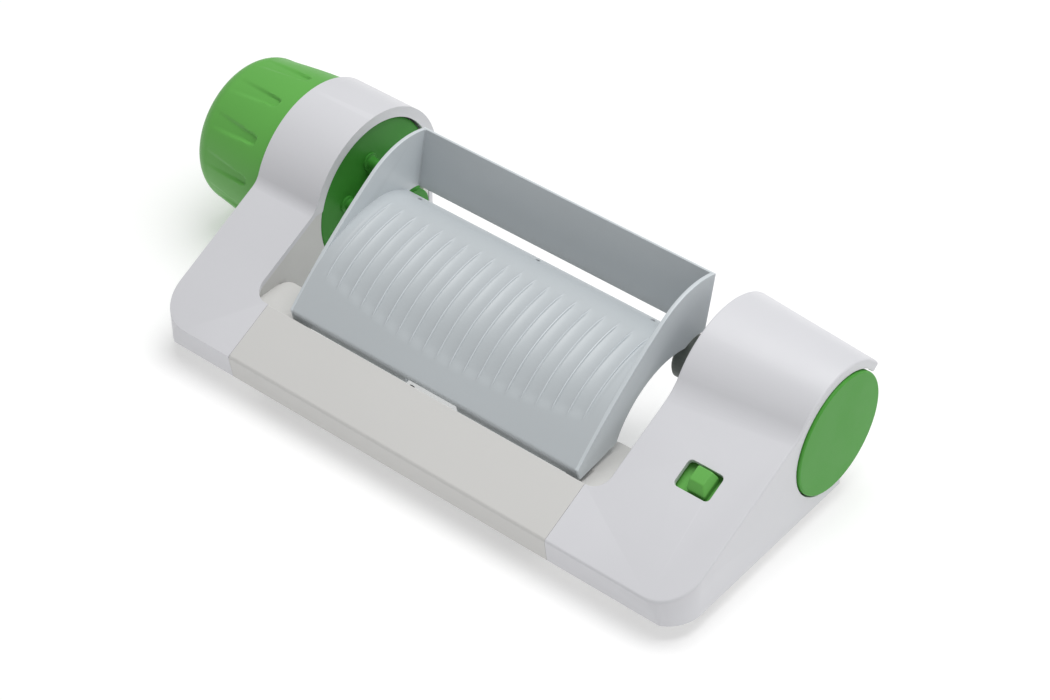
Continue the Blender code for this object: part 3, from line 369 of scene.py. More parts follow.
def extruded(shape, verts):
    """Vertices of the far side of a face that is built on verts and pulled out."""
    made = bmesh.ops.extrude_face_region(shape, geom=[shape.faces.new(verts)])
    return [item for item in made["geom"] if isinstance(item, bmesh.types.BMVert)]


def prism_x(outline, start_x, end_x, far_outline=None):
    """Solid between two x stations; outline is (y, z) from the spindle's axis."""
    far_outline = far_outline or outline
    shape = bmesh.new()
    verts = [shape.verts.new((start_x, spindle_y + p[0], spindle_z + p[1])) for p in outline]
    for vert in extruded(shape, verts):
        nearest = min(range(len(verts)), key=lambda i: (verts[i].co - vert.co).length)
        place = far_outline[nearest]
        vert.co = (end_x, spindle_y + place[0], spindle_z + place[1])
    return solid(shape)


def prism_z(outline, low_z, high_z):
    """Solid between two heights; outline is (x, y) with y from the spindle's axis."""
    shape = bmesh.new()
    verts = [shape.verts.new((p[0], spindle_y + p[1], spindle_z + low_z)) for p in outline]
    bmesh.ops.translate(shape, vec=(0, 0, high_z - low_z), verts=extruded(shape, verts))
    return solid(shape)


def box(low, high):
    """Upright block between two corners, y and z from the spindle's axis."""
    return prism_z([(low[0], low[1]), (high[0], low[1]), (high[0], high[1]), (low[0], high[1])],
                   low[2], high[2])


def lathe_x(profile, centre=(0, 0), steps=96):
    """Turned solid about a line along X; profile is (x, radius) and closes on itself."""
    shape = bmesh.new()
    verts = [shape.verts.new((x, spindle_y + centre[0], spindle_z + centre[1] + r)) for x, r in profile]
    count = len(verts)
    edges = [shape.edges.new((verts[i], verts[(i + 1) % count])) for i in range(count)
             if profile[i][1] > 0 or profile[(i + 1) % count][1] > 0]
    bmesh.ops.spin(shape, geom=verts + edges, cent=(0, spindle_y + centre[0], spindle_z + centre[1]),
                   axis=(1, 0, 0), angle=2 * math.pi, steps=steps, use_merge=True)
    slivers = [e for e in shape.edges if e.calc_length() < merge_gap]
    bmesh.ops.dissolve_degenerate(shape, dist=merge_gap, edges=slivers)
    return solid(shape)


def cylinder_x(radius, start_x, end_x, centre=(0, 0), steps=96):
    """Cylinder along X between two stations."""
    return lathe_x([(start_x, 0), (start_x, radius), (end_x, radius), (end_x, 0)], centre, steps)


def combine(item, other, operation):
    """Apply one exact Boolean and drop the second solid."""
    change = item.modifiers.new("combine", "BOOLEAN")
    change.operation = operation
    change.solver = "EXACT"
    change.object = other
    made = bpy.data.meshes.new_from_object(item.evaluated_get(bpy.context.evaluated_depsgraph_get()))
    item.modifiers.clear()
    item.data = made
    bpy.data.objects.remove(other, do_unlink=True)
    shape = bmesh.new()
    shape.from_mesh(made)
    bmesh.ops.remove_doubles(shape, verts=shape.verts, dist=boolean_merge_gap)
    bmesh.ops.dissolve_degenerate(shape, dist=boolean_merge_gap, edges=shape.edges)
    shape.to_mesh(made)
    shape.free()
    return item


def cut(item, *others):
    """Take solids away from the first one."""
    for other in others:
        combine(item, other, "DIFFERENCE")
    return item


def fuse(item, *others):
    """Add solids to the first one."""
    for other in others:
        combine(item, other, "UNION")
    return item


def overlap(item, other):
    """Keep what two solids share."""
    return combine(item, other, "INTERSECT")


def join(item, *others):
    """Put solids into one object without fusing them."""
    shape = bmesh.new()
    for piece in (item, *others):
        shape.from_mesh(piece.data)
    shape.to_mesh(item.data)
    shape.free()
    for other in others:
        bpy.data.objects.remove(other, do_unlink=True)
    return item


def round_edges(item, wanted, width, segments=3, least_angle=38):
    """Bevel the edges that wanted picks by their middle and the angle between their faces."""
    shape = bmesh.new()
    shape.from_mesh(item.data)
    bmesh.ops.remove_doubles(shape, verts=shape.verts, dist=bevel_merge_gap)
    bmesh.ops.dissolve_limit(shape, angle_limit=flat_angle, verts=shape.verts, edges=shape.edges)
    edges = []
    for edge in shape.edges:
        if len(edge.link_faces) != 2:
            continue
        middle = (edge.verts[0].co + edge.verts[1].co) / 2
        place = Vector((middle.x, middle.y - spindle_y, middle.z - spindle_z))
        if edge.calc_face_angle() > math.radians(least_angle) and wanted(place, edge):
            edges.append(edge)
    bmesh.ops.bevel(shape, geom=edges, offset=width, segments=segments, affect="EDGES", profile=0.5,
                    material=-1, clamp_overlap=True)
    shape.to_mesh(item.data)
    shape.free()
    return item


def finish_piece(item, name, body, nodes, material):
    """Name a piece, shade it, let it ride with its body and stand for its nodes of the part."""
    item.name = name
    item.data.name = name
    item.data.materials.clear()
    item.data.materials.append(material)
    for face in item.data.polygons:
        face.material_index = 0
    item.data.shade_smooth()
    item.data.set_sharp_from_angle(angle=sharp_angle)
    level = item.modifiers.new("level", "WEIGHTED_NORMAL")
    level.keep_sharp = True
    level.weight = 100
    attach(item, body)
    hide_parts(*nodes)
    return item


class Signal:
    """A shader socket that takes part in Python arithmetic."""

    def __init__(self, graph, socket):
        self.graph = graph
        self.socket = socket

    def __add__(self, other):
        return self.graph.maths("ADD", self, other)

    def __sub__(self, other):
        return self.graph.maths("SUBTRACT", self, other)

    def __mul__(self, other):
        return self.graph.maths("MULTIPLY", self, other)

    __radd__ = __add__


class Graph:
    """One Principled material and the nodes that feed it."""

    def __init__(self, name):
        self.material = bpy.data.materials.new(name)
        self.material.use_nodes = True
        self.tree = self.material.node_tree
        self.shader = self.tree.nodes["Principled BSDF"]

    def node(self, kind, output, inputs, **settings):
        """Add a node, set its settings and inputs, and hand back one output."""
        made = self.tree.nodes.new(kind)
        for key, value in settings.items():
            setattr(made, key, value)
        for key, value in inputs.items():
            self.feed(made.inputs[key], value)
        return Signal(self, made.outputs[output])

    def put(self, name, value):
        """Feed one input of the shader."""
        self.feed(self.shader.inputs[name], value)

    def feed(self, socket, value):
        """Link a signal to a socket, or set a plain value."""
        if isinstance(value, Signal):
            self.tree.links.new(value.socket, socket)
        else:
            socket.default_value = value

    def maths(self, operation, first, second):
        """Sum, difference or product of two values."""
        return self.node("ShaderNodeMath", 0, {0: first, 1: second}, operation=operation)

    def noise(self, scale, detail=2.0, roughness=0.5, stretch=(1, 1, 1)):
        """Noise over the object's own coordinates."""
        place = self.node("ShaderNodeTexCoord", "Object", {})
        spot = self.node("ShaderNodeMapping", 0, {"Vector": place, "Scale": stretch})
        return self.node("ShaderNodeTexNoise", 0, {"Vector": spot, "Scale": scale, "Detail": detail,
                                                   "Roughness": roughness})

    def band(self, value, low, high, start=0.0, end=1.0):
        """Value carried from low..high to start..end, held at the ends."""
        return self.node("ShaderNodeMapRange", 0, {"Value": value, "From Min": low, "From Max": high,
                                                   "To Min": start, "To Max": end})

    def blend(self, share, first, second):
        """Mix of two colours."""
        made = self.tree.nodes.new("ShaderNodeMix")
        made.data_type = "RGBA"
        self.feed(made.inputs[0], share)
        for socket, value in ((made.inputs[6], first), (made.inputs[7], second)):
            self.feed(socket, value if isinstance(value, Signal) else (*value, 1))
        return Signal(self, made.outputs[2])

    def bump(self, height, distance):
        """Feed a height to the shader's normal."""
        normal = self.node("ShaderNodeBump", 0, {"Height": height, "Distance": distance, "Strength": 1.0})
        self.put("Normal", normal)

    def edges(self):
        """Share that rises on outer edges, where the painted highlight is laid."""
        sharp = self.node("ShaderNodeNewGeometry", "Pointiness", {})
        return self.band(sharp, low=0.505, high=0.56)


def moulded(name, colour, roughness, shine=0.5, highlight_lift=1.12, highlight_share=0.45):
    """Moulded plastic: fine grain, faint flow marks, handling sheen and a painted highlight that lightens
    outer edges.
    """
    graph = Graph(name)
    flow = graph.band(graph.noise(scale=18.0, detail=3.0, roughness=0.55, stretch=(0.35, 1, 1)), 0.35, 0.65)
    fine = graph.noise(scale=2600.0, detail=2.0, roughness=0.6)
    handled = graph.band(graph.noise(scale=55.0, detail=4.0, roughness=0.6), low=0.40, high=0.72)
    # Painted highlight: outer edges and ribs are coloured lighter, standing in for light that catches them.
    painted_highlight = tuple(min(1.0, c * highlight_lift + 0.010) for c in colour)
    darker = tuple(c * 0.965 for c in colour)
    tone = graph.blend(flow, darker, colour)
    graph.put("Base Color", graph.blend(graph.edges() * highlight_share, tone, painted_highlight))
    graph.put("Roughness", roughness + handled * 0.07 + fine * 0.04 - 0.03)
    graph.bump(fine + handled * 0.3, distance=0.000012)
    graph.put("IOR", 1.47)
    graph.put("Specular IOR Level", shine)
    return graph.material


def steel(name, colour, roughness, stretch):
    """Drawn or ground steel with fine lines along one way."""
    graph = Graph(name)
    lines = graph.noise(scale=900.0, detail=3.0, roughness=0.6, stretch=stretch)
    stain = graph.band(graph.noise(scale=40.0, detail=3.0), low=0.35, high=0.7)
    darker = tuple(c * 0.86 for c in colour)
    graph.put("Base Color", graph.blend(stain, darker, colour))
    graph.put("Roughness", roughness + lines * 0.14)
    graph.bump(lines, distance=0.000010)
    graph.put("Metallic", 1.0)
    return graph.material


def rubber(name):
    """Matt rubber with dust in its grain."""
    graph = Graph(name)
    grain = graph.noise(scale=1500.0, detail=3.0, roughness=0.6)
    dust = graph.band(graph.noise(scale=70.0, detail=4.0, roughness=0.6), low=0.45, high=0.75)
    clean = (0.022, 0.022, 0.023)
    dusty = (0.07, 0.07, 0.068)
    graph.put("Base Color", graph.blend(dust * 0.4, clean, dusty))
    graph.put("Roughness", 0.72 + grain * 0.15)
    graph.bump(grain, distance=0.00003)
    return graph.material


housing_white = moulded("housing white", (0.660, 0.662, 0.690), 0.36)
base_grey = moulded("base warm white", (0.620, 0.616, 0.600), 0.42)
green = moulded("leaf green", (0.130, 0.430, 0.080), 0.42, shine=0.3)
pull_green = moulded("pull disc green", (0.075, 0.340, 0.045), 0.42, shine=0.2)
deep_green = moulded("drive disc green", (0.045, 0.260, 0.030), 0.44, shine=0.2)
# The hood's high lift and share paint bright highlights along its ribs.
hood_grey = moulded("hood blue-grey", (0.520, 0.558, 0.580), 0.34, highlight_lift=1.32, highlight_share=0.85)
dark_grey = moulded("head dark grey", (0.100, 0.115, 0.102), 0.45)
bush_plastic = moulded("bearing plastic", (0.72, 0.70, 0.64), 0.45)
ground_steel = steel("blade steel", (0.62, 0.62, 0.63), 0.18, (0.06, 1, 1))
drawn_steel = steel("drawn steel", (0.58, 0.58, 0.60), 0.26, (1, 0.08, 0.08))
foot_rubber = rubber("foot rubber")


def housing_outline(arch_radius, blend_radius, inset, low_z):
    """Teardrop side outline: front wall, ramp, concave blend, arch and rear wall."""
    radius = arch_radius - inset
    level = ramp_height - inset
    blend = blend_radius + inset
    lean = (front_crest_y - front_foot_y) / (ramp_z(front_crest_y) - bottom_z)
    base = level / math.cos(ramp_angle)
    crest_y = (front_foot_y + inset + lean * (base - bottom_z)) / (1 - lean * math.tan(ramp_angle))
    foot_y = front_foot_y + inset + lean * (low_z - bottom_z)
    back = -math.sqrt((radius + blend) ** 2 - (level + blend) ** 2)
    centre = along_ramp(back, level + blend)
    down = math.atan2(-math.cos(ramp_angle), math.sin(ramp_angle))
    inward = math.atan2(-centre.y, -centre.x)
    points = [Vector((foot_y, low_z)), Vector((crest_y, base + math.tan(ramp_angle) * crest_y))]
    points += arc(centre, blend, down, inward, 12)
    points += arc(Vector((0, 0)), radius, math.atan2(centre.y, centre.x), -rear_turn, 60)[1:]
    points.append(Vector((points[-1].x, low_z)))
    return points


def ramp_z(y, height=ramp_height):
    """Height of the ramp plane at y, both from the spindle's axis."""
    return height / math.cos(ramp_angle) + math.tan(ramp_angle) * y


class End:
    """One end housing: station(u) counts from its outer side face towards the middle."""

    def __init__(self, side_x, direction, width, radius, blend, taper, seam_reach):
        self.side_x = side_x
        self.direction = direction
        self.width = width
        self.radius = radius
        self.blend = blend
        self.seam_reach = seam_reach
        self.taper = taper

    def station(self, u):
        """Place on the X axis of a count from the outer side face."""
        return self.side_x + self.direction * u

    def block(self, reach, low, high):
        """Block from the outer side face to a station, between two (y, z) corners."""
        low_x, high_x = sorted((self.station(0), self.station(reach)))
        return box((low_x, *low), (high_x, *high))

    def side_solid(self, inset, start_u, end_u, low_z=bottom_z):
        """Solid of the side outline between two stations, tapered towards the outer side."""
        def section(u):
            fall = self.taper * (1 - u / self.width)
            return housing_outline(self.radius - fall, self.blend, inset, low_z)
        return prism_x(section(start_u), self.station(start_u), self.station(end_u), section(end_u))

    def plan_solid(self, inset, inner_u, low_z, high_z, corner=None):
        """Upright solid of the plan, with its rounded front corner; reaches the seam if corner."""
        radius = corner_radius - inset
        front = front_crest_y + inset
        points = [Vector((inset, far_out))]
        points += arc(Vector((corner_radius, front + radius)), radius, math.pi, 1.5 * math.pi, 12)
        if corner:
            reach = self.width + self.seam_reach
            points += [Vector((reach, front)), Vector((reach, bar_rear_y))]
            points += arc(Vector((inner_u + corner, bar_rear_y + corner)), corner,
                          -0.5 * math.pi, -math.pi, 10)
        else:
            points.append(Vector((inner_u, front)))
        points.append(Vector((inner_u, far_out)))
        return prism_z([(self.station(p.x), p.y) for p in points], low_z, high_z)


left_end = End(left_side_x, 1, left_housing_width, left_arch_radius, left_blend, 0.0, left_seam_reach)
right_end = End(right_side_x, -1, right_housing_width, right_arch_radius, right_blend, side_taper,
                right_seam_reach)
button_face_z = ramp_z(window_centre_y)


def cover(end):
    """Outer shell of one end with softly rounded edges, hollowed from below."""
    reach = end.width + end.seam_reach
    body = overlap(end.side_solid(0, -tolerance, reach + past),
                   end.plan_solid(0, end.width, far_below, far_out, inner_fillet))

    def at_inner_side(place):
        near = abs(place.x - end.station(end.width)) < inner_edge_reach
        return near and place.y > bar_rear_y - edge_band

    def rounded(place):
        return place.z > bottom_z + skin_band and abs(place.x - end.station(reach)) > tolerance
    round_edges(body, lambda p, e: rounded(p) and not at_inner_side(p), crest_round, 4)
    round_edges(body, lambda p, e: rounded(p) and at_inner_side(p), inner_edge_round, 3, 50)
    hollow = overlap(end.side_solid(cover_wall, cover_wall, end.width - inner_wall, far_below),
                     end.plan_solid(cover_wall, end.width - inner_wall + past, far_below - past, far_out))
    start = end.width - inner_wall - inner_cut_start
    low = (front_crest_y, far_below - past)
    corner = overlap(end.side_solid(cover_wall + hair, start, reach + past, far_below),
                     end.block(reach + 2 * past, low, (bar_rear_y + inner_fillet, 0)))
    below = overlap(end.side_solid(cover_wall + 2 * hair, start, end.width + past, far_below),
                    end.block(reach, low, (far_out, wall_split_z + fit_gap)))
    return cut(body, hollow, corner, below)


def rounded_window(length, depth, radius, steps=8):
    """Plan of a rounded rectangle about the origin."""
    points = []
    for turn, (sx, sy) in enumerate(((1, 1), (-1, 1), (-1, -1), (1, -1))):
        centre = Vector((sx * (length / 2 - radius), sy * (depth / 2 - radius)))
        points += arc(centre, radius, turn * math.pi / 2, (turn + 1) * math.pi / 2, steps)
    return points


def on_ramp(outline, low, *levels):
    """Solid laid on the ramp by the window.

    It starts from an outline at a low level. Each level after it is an outline and its height.
    """
    shape = bmesh.new()
    border = [shape.verts.new((p[0], p[1], low)) for p in outline]
    base = shape.faces.new(border)
    face = base
    for points, height in levels:
        made = bmesh.ops.extrude_face_region(shape, geom=[face])
        if face is not base:
            bmesh.ops.delete(shape, geom=[face], context="FACES_ONLY")
        face = next(item for item in made["geom"] if isinstance(item, bmesh.types.BMFace))
        border = [min(face.verts, key=lambda v: (v.co - old.co).length) for old in border]
        for vert, point in zip(border, points):
            vert.co = (point[0], point[1], height)
    place = Vector((window_centre_x, spindle_y + window_centre_y, spindle_z + button_face_z))
    turn = Matrix.Rotation(ramp_angle, 4, "X")
    bmesh.ops.transform(shape, matrix=Matrix.Translation(place) @ turn, verts=shape.verts)
    return solid(shape)


def dress_left_housing():
    """Left cover with the drive disc's opening and the shaft's hole."""
    left = cover(left_end)
    middle = (left_inner_x + left_side_x) / 2
    cut(left, cylinder_x(disc_opening_radius, middle, left_inner_x + well_past, steps=160),
        cylinder_x(bush_radius + touch_gap, left_side_x - side_past, left_side_x + well_past))
    finish_piece(left, "left_cover_shell", "frame", ["left_housing"], housing_white)


def dress_right_housing():
    """Right cover with the pull disc's pocket, the button's window, the head's hole and the cut-away side."""
    right = cover(right_end)
    cut(right, cylinder_x(pull_disc_radius + disc_clearance, right_side_x - disc_pocket_depth,
                          right_side_x + well_past, steps=160))
    window = rounded_window(window_length, window_depth, window_corner)
    cut(right, on_ramp(window, window_cut_low, (window, window_cut_high)))
    window_centre = Vector((window_centre_x, window_centre_y, button_face_z))

    def window_edge(place, edge):
        off = place - window_centre
        above = off.z * math.cos(ramp_angle) - off.y * math.sin(ramp_angle)
        inside = (abs(off.x) < window_edge_share * window_length
                  and abs(off.y) < window_edge_share * window_depth)
        return inside and abs(above) < skin_band
    round_edges(right, window_edge, window_edge_round, 2)
    cut(right, cylinder_x(head_radius + head_room_cover, right_inner_x - well_past,
                          right_inner_x + well_past))
    grip = [Vector((0, 0))] + arc(Vector((0, 0)), grip_radius, grip_start, grip_end, 8)
    cut(right, prism_x(grip, right_side_x - grip_depth, right_side_x + well_past))
    finish_piece(right, "right_cover_shell", "frame", ["right_housing"], housing_white)


def knob_radius(x):
    """Outer radius of the crank knob at x, before its flutes."""
    share = max(0.0, (knob_start_x - x) / knob_length)
    return knob_base_radius + (knob_end_radius - knob_base_radius) * share ** knob_swell


def flute_cut(x, angle):
    """Depth of the tongue-shaped flutes at a place on the knob's skin."""
    along = knob_start_x - flute_start - x
    if along <= 0:
        return 0.0
    share = min(1.0, along / flute_length)
    end_round = flute_round_share * flute_length
    half = flute_inner_half + (flute_outer_half - flute_inner_half) * share
    if along < end_round:
        half *= math.sqrt(1 - (1 - along / end_round) ** 2)
    pitch = 2 * math.pi / flute_count
    off = (angle - flute_phase + 0.5 * pitch) % pitch - 0.5 * pitch
    inside = 1 - abs(off) / half
    return flute_depth * (1 - share ** flute_fade) * smooth_step(inside / flute_flank_share)


def dress_knob():
    """Fluted knob with a softly rounded outer edge."""
    edge_x = knob_end_x + knob_edge
    edge_radius = knob_radius(edge_x) - knob_edge
    skin_start = knob_start_x - knob_lip
    count = 60
    stations = [skin_start + (edge_x - skin_start) * i / count for i in range(count + 1)]
    mouth_radius = knob_radius(knob_start_x)
    profile = [(knob_start_x, mouth_radius - knob_lip_drop),
               (knob_start_x - knob_lip_break, mouth_radius - knob_lip_break)]
    profile += [(x, knob_radius(x)) for x in stations]
    profile += [(edge_x - knob_edge * math.sin(a), edge_radius + knob_edge * math.cos(a))
                for a in quarter(14)[:-1]]
    profile += [(knob_end_x, edge_radius), (knob_end_x, edge_radius * 0.5), (knob_end_x, 0),
                (knob_end_x + knob_wall, 0), (knob_end_x + knob_wall, edge_radius),
                (edge_x, knob_radius(edge_x) - knob_wall), (knob_start_x, mouth_radius - knob_wall)]
    item = lathe_x(profile, steps=360)
    for vert in item.data.vertices:
        y = vert.co.y - spindle_y
        z = vert.co.z - spindle_z
        radius = math.hypot(y, z)
        skin = knob_radius(vert.co.x) if vert.co.x > edge_x else edge_radius
        if radius < skin - skin_depth or radius < past:
            continue
        fade = 1.0
        if vert.co.x < edge_x:
            fade = smooth_step((radius - edge_radius) / (flute_fade_share * knob_edge))
        depth = flute_cut(vert.co.x, math.atan2(z, y)) * fade
        vert.co.y = spindle_y + y * (radius - depth) / radius
        vert.co.z = spindle_z + z * (radius - depth) / radius
    finish_piece(item, "fluted_knob", "crank", ["crank_knob"], green)


def eased_rim(face_x, radius, edge):
    """Quarter round from a disc's face to its rim, as (x, radius)."""
    return [(face_x - edge + edge * math.cos(a), radius - edge + edge * math.sin(a)) for a in quarter(5)]


def teardrop(angle, round_radius, tail_radius, spread):
    """Outline on the drive disc: a round end about a prong and a tail towards the centre."""
    centre = heading(angle) * round_radius
    tail = heading(angle + drop_tail_turn) * tail_radius
    way = (tail - centre).normalized()
    lean = math.atan2(way.y, way.x)
    open_half = math.acos(spread / (tail - centre).length)
    return arc(centre, spread, lean + open_half, lean + 2 * math.pi - open_half, 18) + [tail]


def drive_disc_profile():
    """Section of the drive disc with its hub, its bores and its core."""
    soft = disc_soft_edge
    screw_hole = disc_screw_share * shaft_radius + touch_gap
    bore = shaft_radius + touch_gap
    profile = [(disc_face, core_radius + soft), (disc_face, drive_disc_radius - disc_edge_round)]
    profile += eased_rim(disc_face, drive_disc_radius, disc_edge_round)
    profile += [(disc_back, drive_disc_radius), (disc_back, hub_radius), (disc_hub_back, hub_radius),
                (disc_hub_back, bore), (shaft_end_x + touch_gap, bore), (shaft_end_x + touch_gap, screw_hole),
                (disc_face, screw_hole), (disc_face, core_bore), (core_end_x - soft, core_bore),
                (core_end_x, core_bore + soft), (core_end_x, core_radius - 0.3 * soft),
                (core_end_x - 0.3 * soft, core_radius), (disc_face + soft, core_radius)]
    return profile


def prong_profile():
    """Section of a prong with a soft foot and a blunt point."""
    soft = disc_soft_edge
    tip_x = disc_face + prong_length
    foot_x = disc_face + drop_height
    return [(disc_face - past, 0), (disc_face - past, prong_base_radius + soft),
            (foot_x, prong_base_radius + soft), (foot_x + 0.3 * soft, prong_base_radius + 0.3 * soft),
            (foot_x + soft, prong_base_radius), (tip_x - prong_point, prong_tip_radius),
            (tip_x - prong_nose, prong_tip_radius * prong_nose_share), (tip_x, 0)]


def dress_drive_disc():
    """Pronged disc with its core and raised drops under the prongs."""
    disc = lathe_x(drive_disc_profile(), steps=160)
    parts = []
    for i in range(prong_count):
        angle = first_prong_angle + i * 2 * math.pi / prong_count
        place = prong_circle * heading(angle)
        outline = teardrop(angle, prong_circle + drop_off, drop_tail_radius, drop_radius)
        drop = prism_x(outline, disc_face - past, disc_face + drop_height)
        round_edges(drop, lambda p, e: p.x > disc_face, drop_round, 3, 30)
        parts += [drop, lathe_x(prong_profile(), place, 40)]
    join(disc, *parts)
    finish_piece(disc, "pronged_disc", "crank", ["drive_disc"], deep_green)


def hood_wall_outline():
    """Side wall of the hood: bowed top edge, arch, leaning rear edge and concave lower edge."""
    start = math.atan2(*(hood_shoulder - hood_top_centre).yx)
    end = math.atan2(*(hood_rear_top - hood_top_centre).yx)
    radius = (hood_rear_top - hood_top_centre).length
    points = bowed(hood_tip, hood_shoulder, hood_top_bow, 16)
    points += arc(hood_top_centre, radius, start, end, 28)[1:]
    under = arc(hood_under_centre, hood_under_radius, hood_under_start, hood_under_end, 30)
    points += bowed(hood_rear_foot, under[0], -hood_rear_bow, 10)
    points += under[1:]
    points.append(hood_skirt_foot)
    return points


def ramp_line():
    """Top line of the hood's ramp from its front edge to its rear lip, with its joins smoothed out."""
    line = bowed(hood_tip, ramp_knee, ramp_front_bow, 40)
    line += bowed(ramp_knee, ramp_crown, ramp_middle_bow, 64)[1:]
    line += bowed(ramp_crown, ramp_lip, ramp_rear_bow, 28)[1:]
    for _ in range(smoothing_rounds):
        inner = [(line[i - 1] + 2 * line[i] + line[i + 1]) / 4 for i in range(1, len(line) - 1)]
        line = [line[0]] + inner + [line[-1]]
    return line


def ramp_underside(line):
    """Line below the ramp's top line; the ramp thins behind its crown towards the lip."""
    lower = []
    last = len(line) - 1
    for i, point in enumerate(line):
        way = line[min(i + 1, last)] - line[max(i - 1, 0)]
        behind = max(0.0, (point.x - ramp_crown.x) / (ramp_lip.x - ramp_crown.x))
        thickness = ramp_thickness + (ramp_lip_thickness - ramp_thickness) * behind
        lower.append(point + Vector((way.y, -way.x)).normalized() * thickness)
    return lower


def ramp_profile():
    """Closed section of the ramp with its front skirt, and where its top line starts and how long it is."""
    line = ramp_line()
    lower = ramp_underside(line)
    skirt_inner = hood_skirt_foot + Vector((skirt_thickness, 0))
    below, near, over = tip_shares
    crest = [hood_tip.lerp(hood_skirt_foot, below), hood_tip.lerp(hood_skirt_foot, near) + tip_swell,
             hood_tip.lerp(line[1], over) + tip_settle]
    skirt = [hood_skirt_foot.lerp(hood_tip, i / skirt_steps) for i in range(1, skirt_steps)]
    front = [hood_skirt_foot] + skirt + crest
    inner = [skirt_inner + skirt_inner_rise, skirt_inner]
    return front + line[1:] + lower[:1:-6] + inner, len(front), len(line) - 1


def panel_height(x, y):
    """Relief of the ribbed field: shallow dips between thin raised ribs, faded at its borders."""
    off = x - (hood_middle_x - panel_shift)
    front_border = panel_front_y + panel_front_sag * (off / panel_half_width) ** 2
    inside = (smooth_step((y - front_border) / panel_front_fade)
              * smooth_step((panel_rear_y - y) / panel_rear_fade))
    half_span = 0.5 * (rib_count - 1) * rib_pitch
    inside *= smooth_step((half_span + panel_side_fade - abs(off)) / panel_side_fade)
    turn = (off / rib_pitch + 0.5 * (rib_count - 1)) % 1.0
    from_rib = min(turn, 1 - turn) * rib_pitch
    dip = panel_dip * (1 - (1 - 2 * min(turn, 1 - turn)) ** 2)
    rib = rib_height * smooth_step(rib_crown - from_rib / rib_half_width)
    return inside * (rib - dip)


def hood_ramp():
    """Ramp and skirt as one closed sheet with its ribs."""
    profile, skip, top_count = ramp_profile()
    count = len(profile)
    start_x = hood_left_x + ramp_seat_share * hood_wall
    end_x = hood_right_x - ramp_seat_share * hood_wall
    shape = bmesh.new()
    made = bmesh.ops.create_grid(shape, x_segments=ramp_columns, y_segments=count, size=0.5)
    for vert in made["verts"]:
        column = round((vert.co.x + 0.5) * ramp_columns)
        row = round((vert.co.y + 0.5) * count)
        point = profile[row % count]
        x = start_x + (end_x - start_x) * column / ramp_columns
        place = Vector((point.x, point.y))
        if skip <= row < skip + top_count:
            before = profile[(row - 1) % count]
            after = profile[(row + 1) % count]
            way = (after - before).normalized()
            place += Vector((-way.y, way.x)) * panel_height(x, point.x)
        vert.co = (x, spindle_y + place.x, spindle_z + place.y)
    bmesh.ops.remove_doubles(shape, verts=shape.verts, dist=sheet_merge_gap)
    bmesh.ops.holes_fill(shape, edges=[e for e in shape.edges if e.is_boundary])
    return solid(shape)


def dress_hood():
    """Hood walls and rear bar with eased edges, and the ribbed ramp between them."""
    hood = prism_x(hood_wall_outline(), hood_left_x, hood_right_x)
    rear_step = Vector((-hood_rear_wall, 0))
    rear_way = (hood_rear_foot - hood_rear_top).normalized()
    hollow = [hood_tip + Vector((hollow_front, hollow_below)),
              hood_rear_foot + rear_step + rear_way * hollow_foot_reach,
              hood_rear_top + rear_step - rear_way * hollow_top_reach,
              hood_tip + Vector((hollow_front, hollow_above))]
    cut(hood, prism_x(hollow, hood_left_x + hood_wall, hood_right_x - hood_wall))
    round_edges(hood, lambda p, e: e.calc_length() > tolerance, hood_edge_round, 2, 50)
    notch_low = hood_skirt_foot.y - past
    ramp = hood_ramp()
    cut(ramp, box((hood_middle_x - notch_width / 2, hood_tip.x - notch_front, notch_low),
                  (hood_middle_x + notch_width / 2, hood_skirt_foot.x + notch_rear,
                   notch_low + past + notch_height)))
    cut(hood, cylinder_x(rod_radius + touch_gap, hood_left_x + rod_cover, hood_right_x - rod_cover,
                         rod_centre, 32))
    join(hood, ramp)
    finish_piece(hood, "hood_shell", "hood", ["blade_hood"], hood_grey)


def bar_outline(inset, low_z):
    """Side outline of the front bar: leaning front wall, sloped top and upright rear wall."""
    outline = housing_outline(left_arch_radius, left_blend, inset, low_z)
    rear = bar_rear_y - inset
    top = ramp_z(rear, ramp_height - inset)
    return [outline[0], outline[1], Vector((rear, top)), Vector((rear, low_z))]


def base_floor(end):
    """Floor plate under one cover, without its rear outer corner; it runs into the front bar's hollow."""
    side = cover_wall + fit_gap
    front = front_foot_y + side + floor_room
    radius = corner_radius - side
    reach = end.width + end.seam_reach + floor_tongue
    inner = end.width - fit_gap
    rear = (end.radius - end.taper) * math.cos(rear_turn) - side
    points = [Vector((side + floor_corner_cut, rear)), Vector((side, rear - floor_corner_cut))]
    points += arc(Vector((side + radius, front + radius)), radius, math.pi, 1.5 * math.pi, 10)
    points += [Vector((reach, front)), Vector((reach, bar_rear_y - past)),
               Vector((inner, bar_rear_y - past)), Vector((inner, rear))]
    low = bottom_z + floor_lift
    return prism_z([(end.station(p.x), p.y) for p in points], low, low + floor_thickness)


def base_wall(end):
    """Upright plate that closes the lower inner side of one cover."""
    inset = cover_wall + fit_gap
    low = (bar_rear_y - wall_tuck, far_below)
    plate = end.side_solid(inset, end.width - inner_wall - fit_gap, end.width - fit_gap,
                           bottom_z + floor_lift)
    return overlap(plate, end.block(end.width, low, (far_out, wall_split_z)))


def ledge(end, length, rear_y, far_corner):
    """Shelf behind the bar, under the hood's end, with rounded rear corners."""
    start = end.width - inner_wall
    reach = end.width + length
    turn = rear_y - ledge_corner
    points = [Vector((start, bar_rear_y - past)), Vector((start, turn))]
    points += arc(Vector((end.width + ledge_corner, turn)), ledge_corner, math.pi, 0.5 * math.pi, 12)
    points += arc(Vector((reach - far_corner, rear_y - far_corner)), far_corner, 0.5 * math.pi, 0, 12)
    points.append(Vector((reach, bar_rear_y - past)))
    return prism_z([(end.station(p.x), p.y) for p in points], ledge_top_z - ledge_thickness, ledge_top_z)


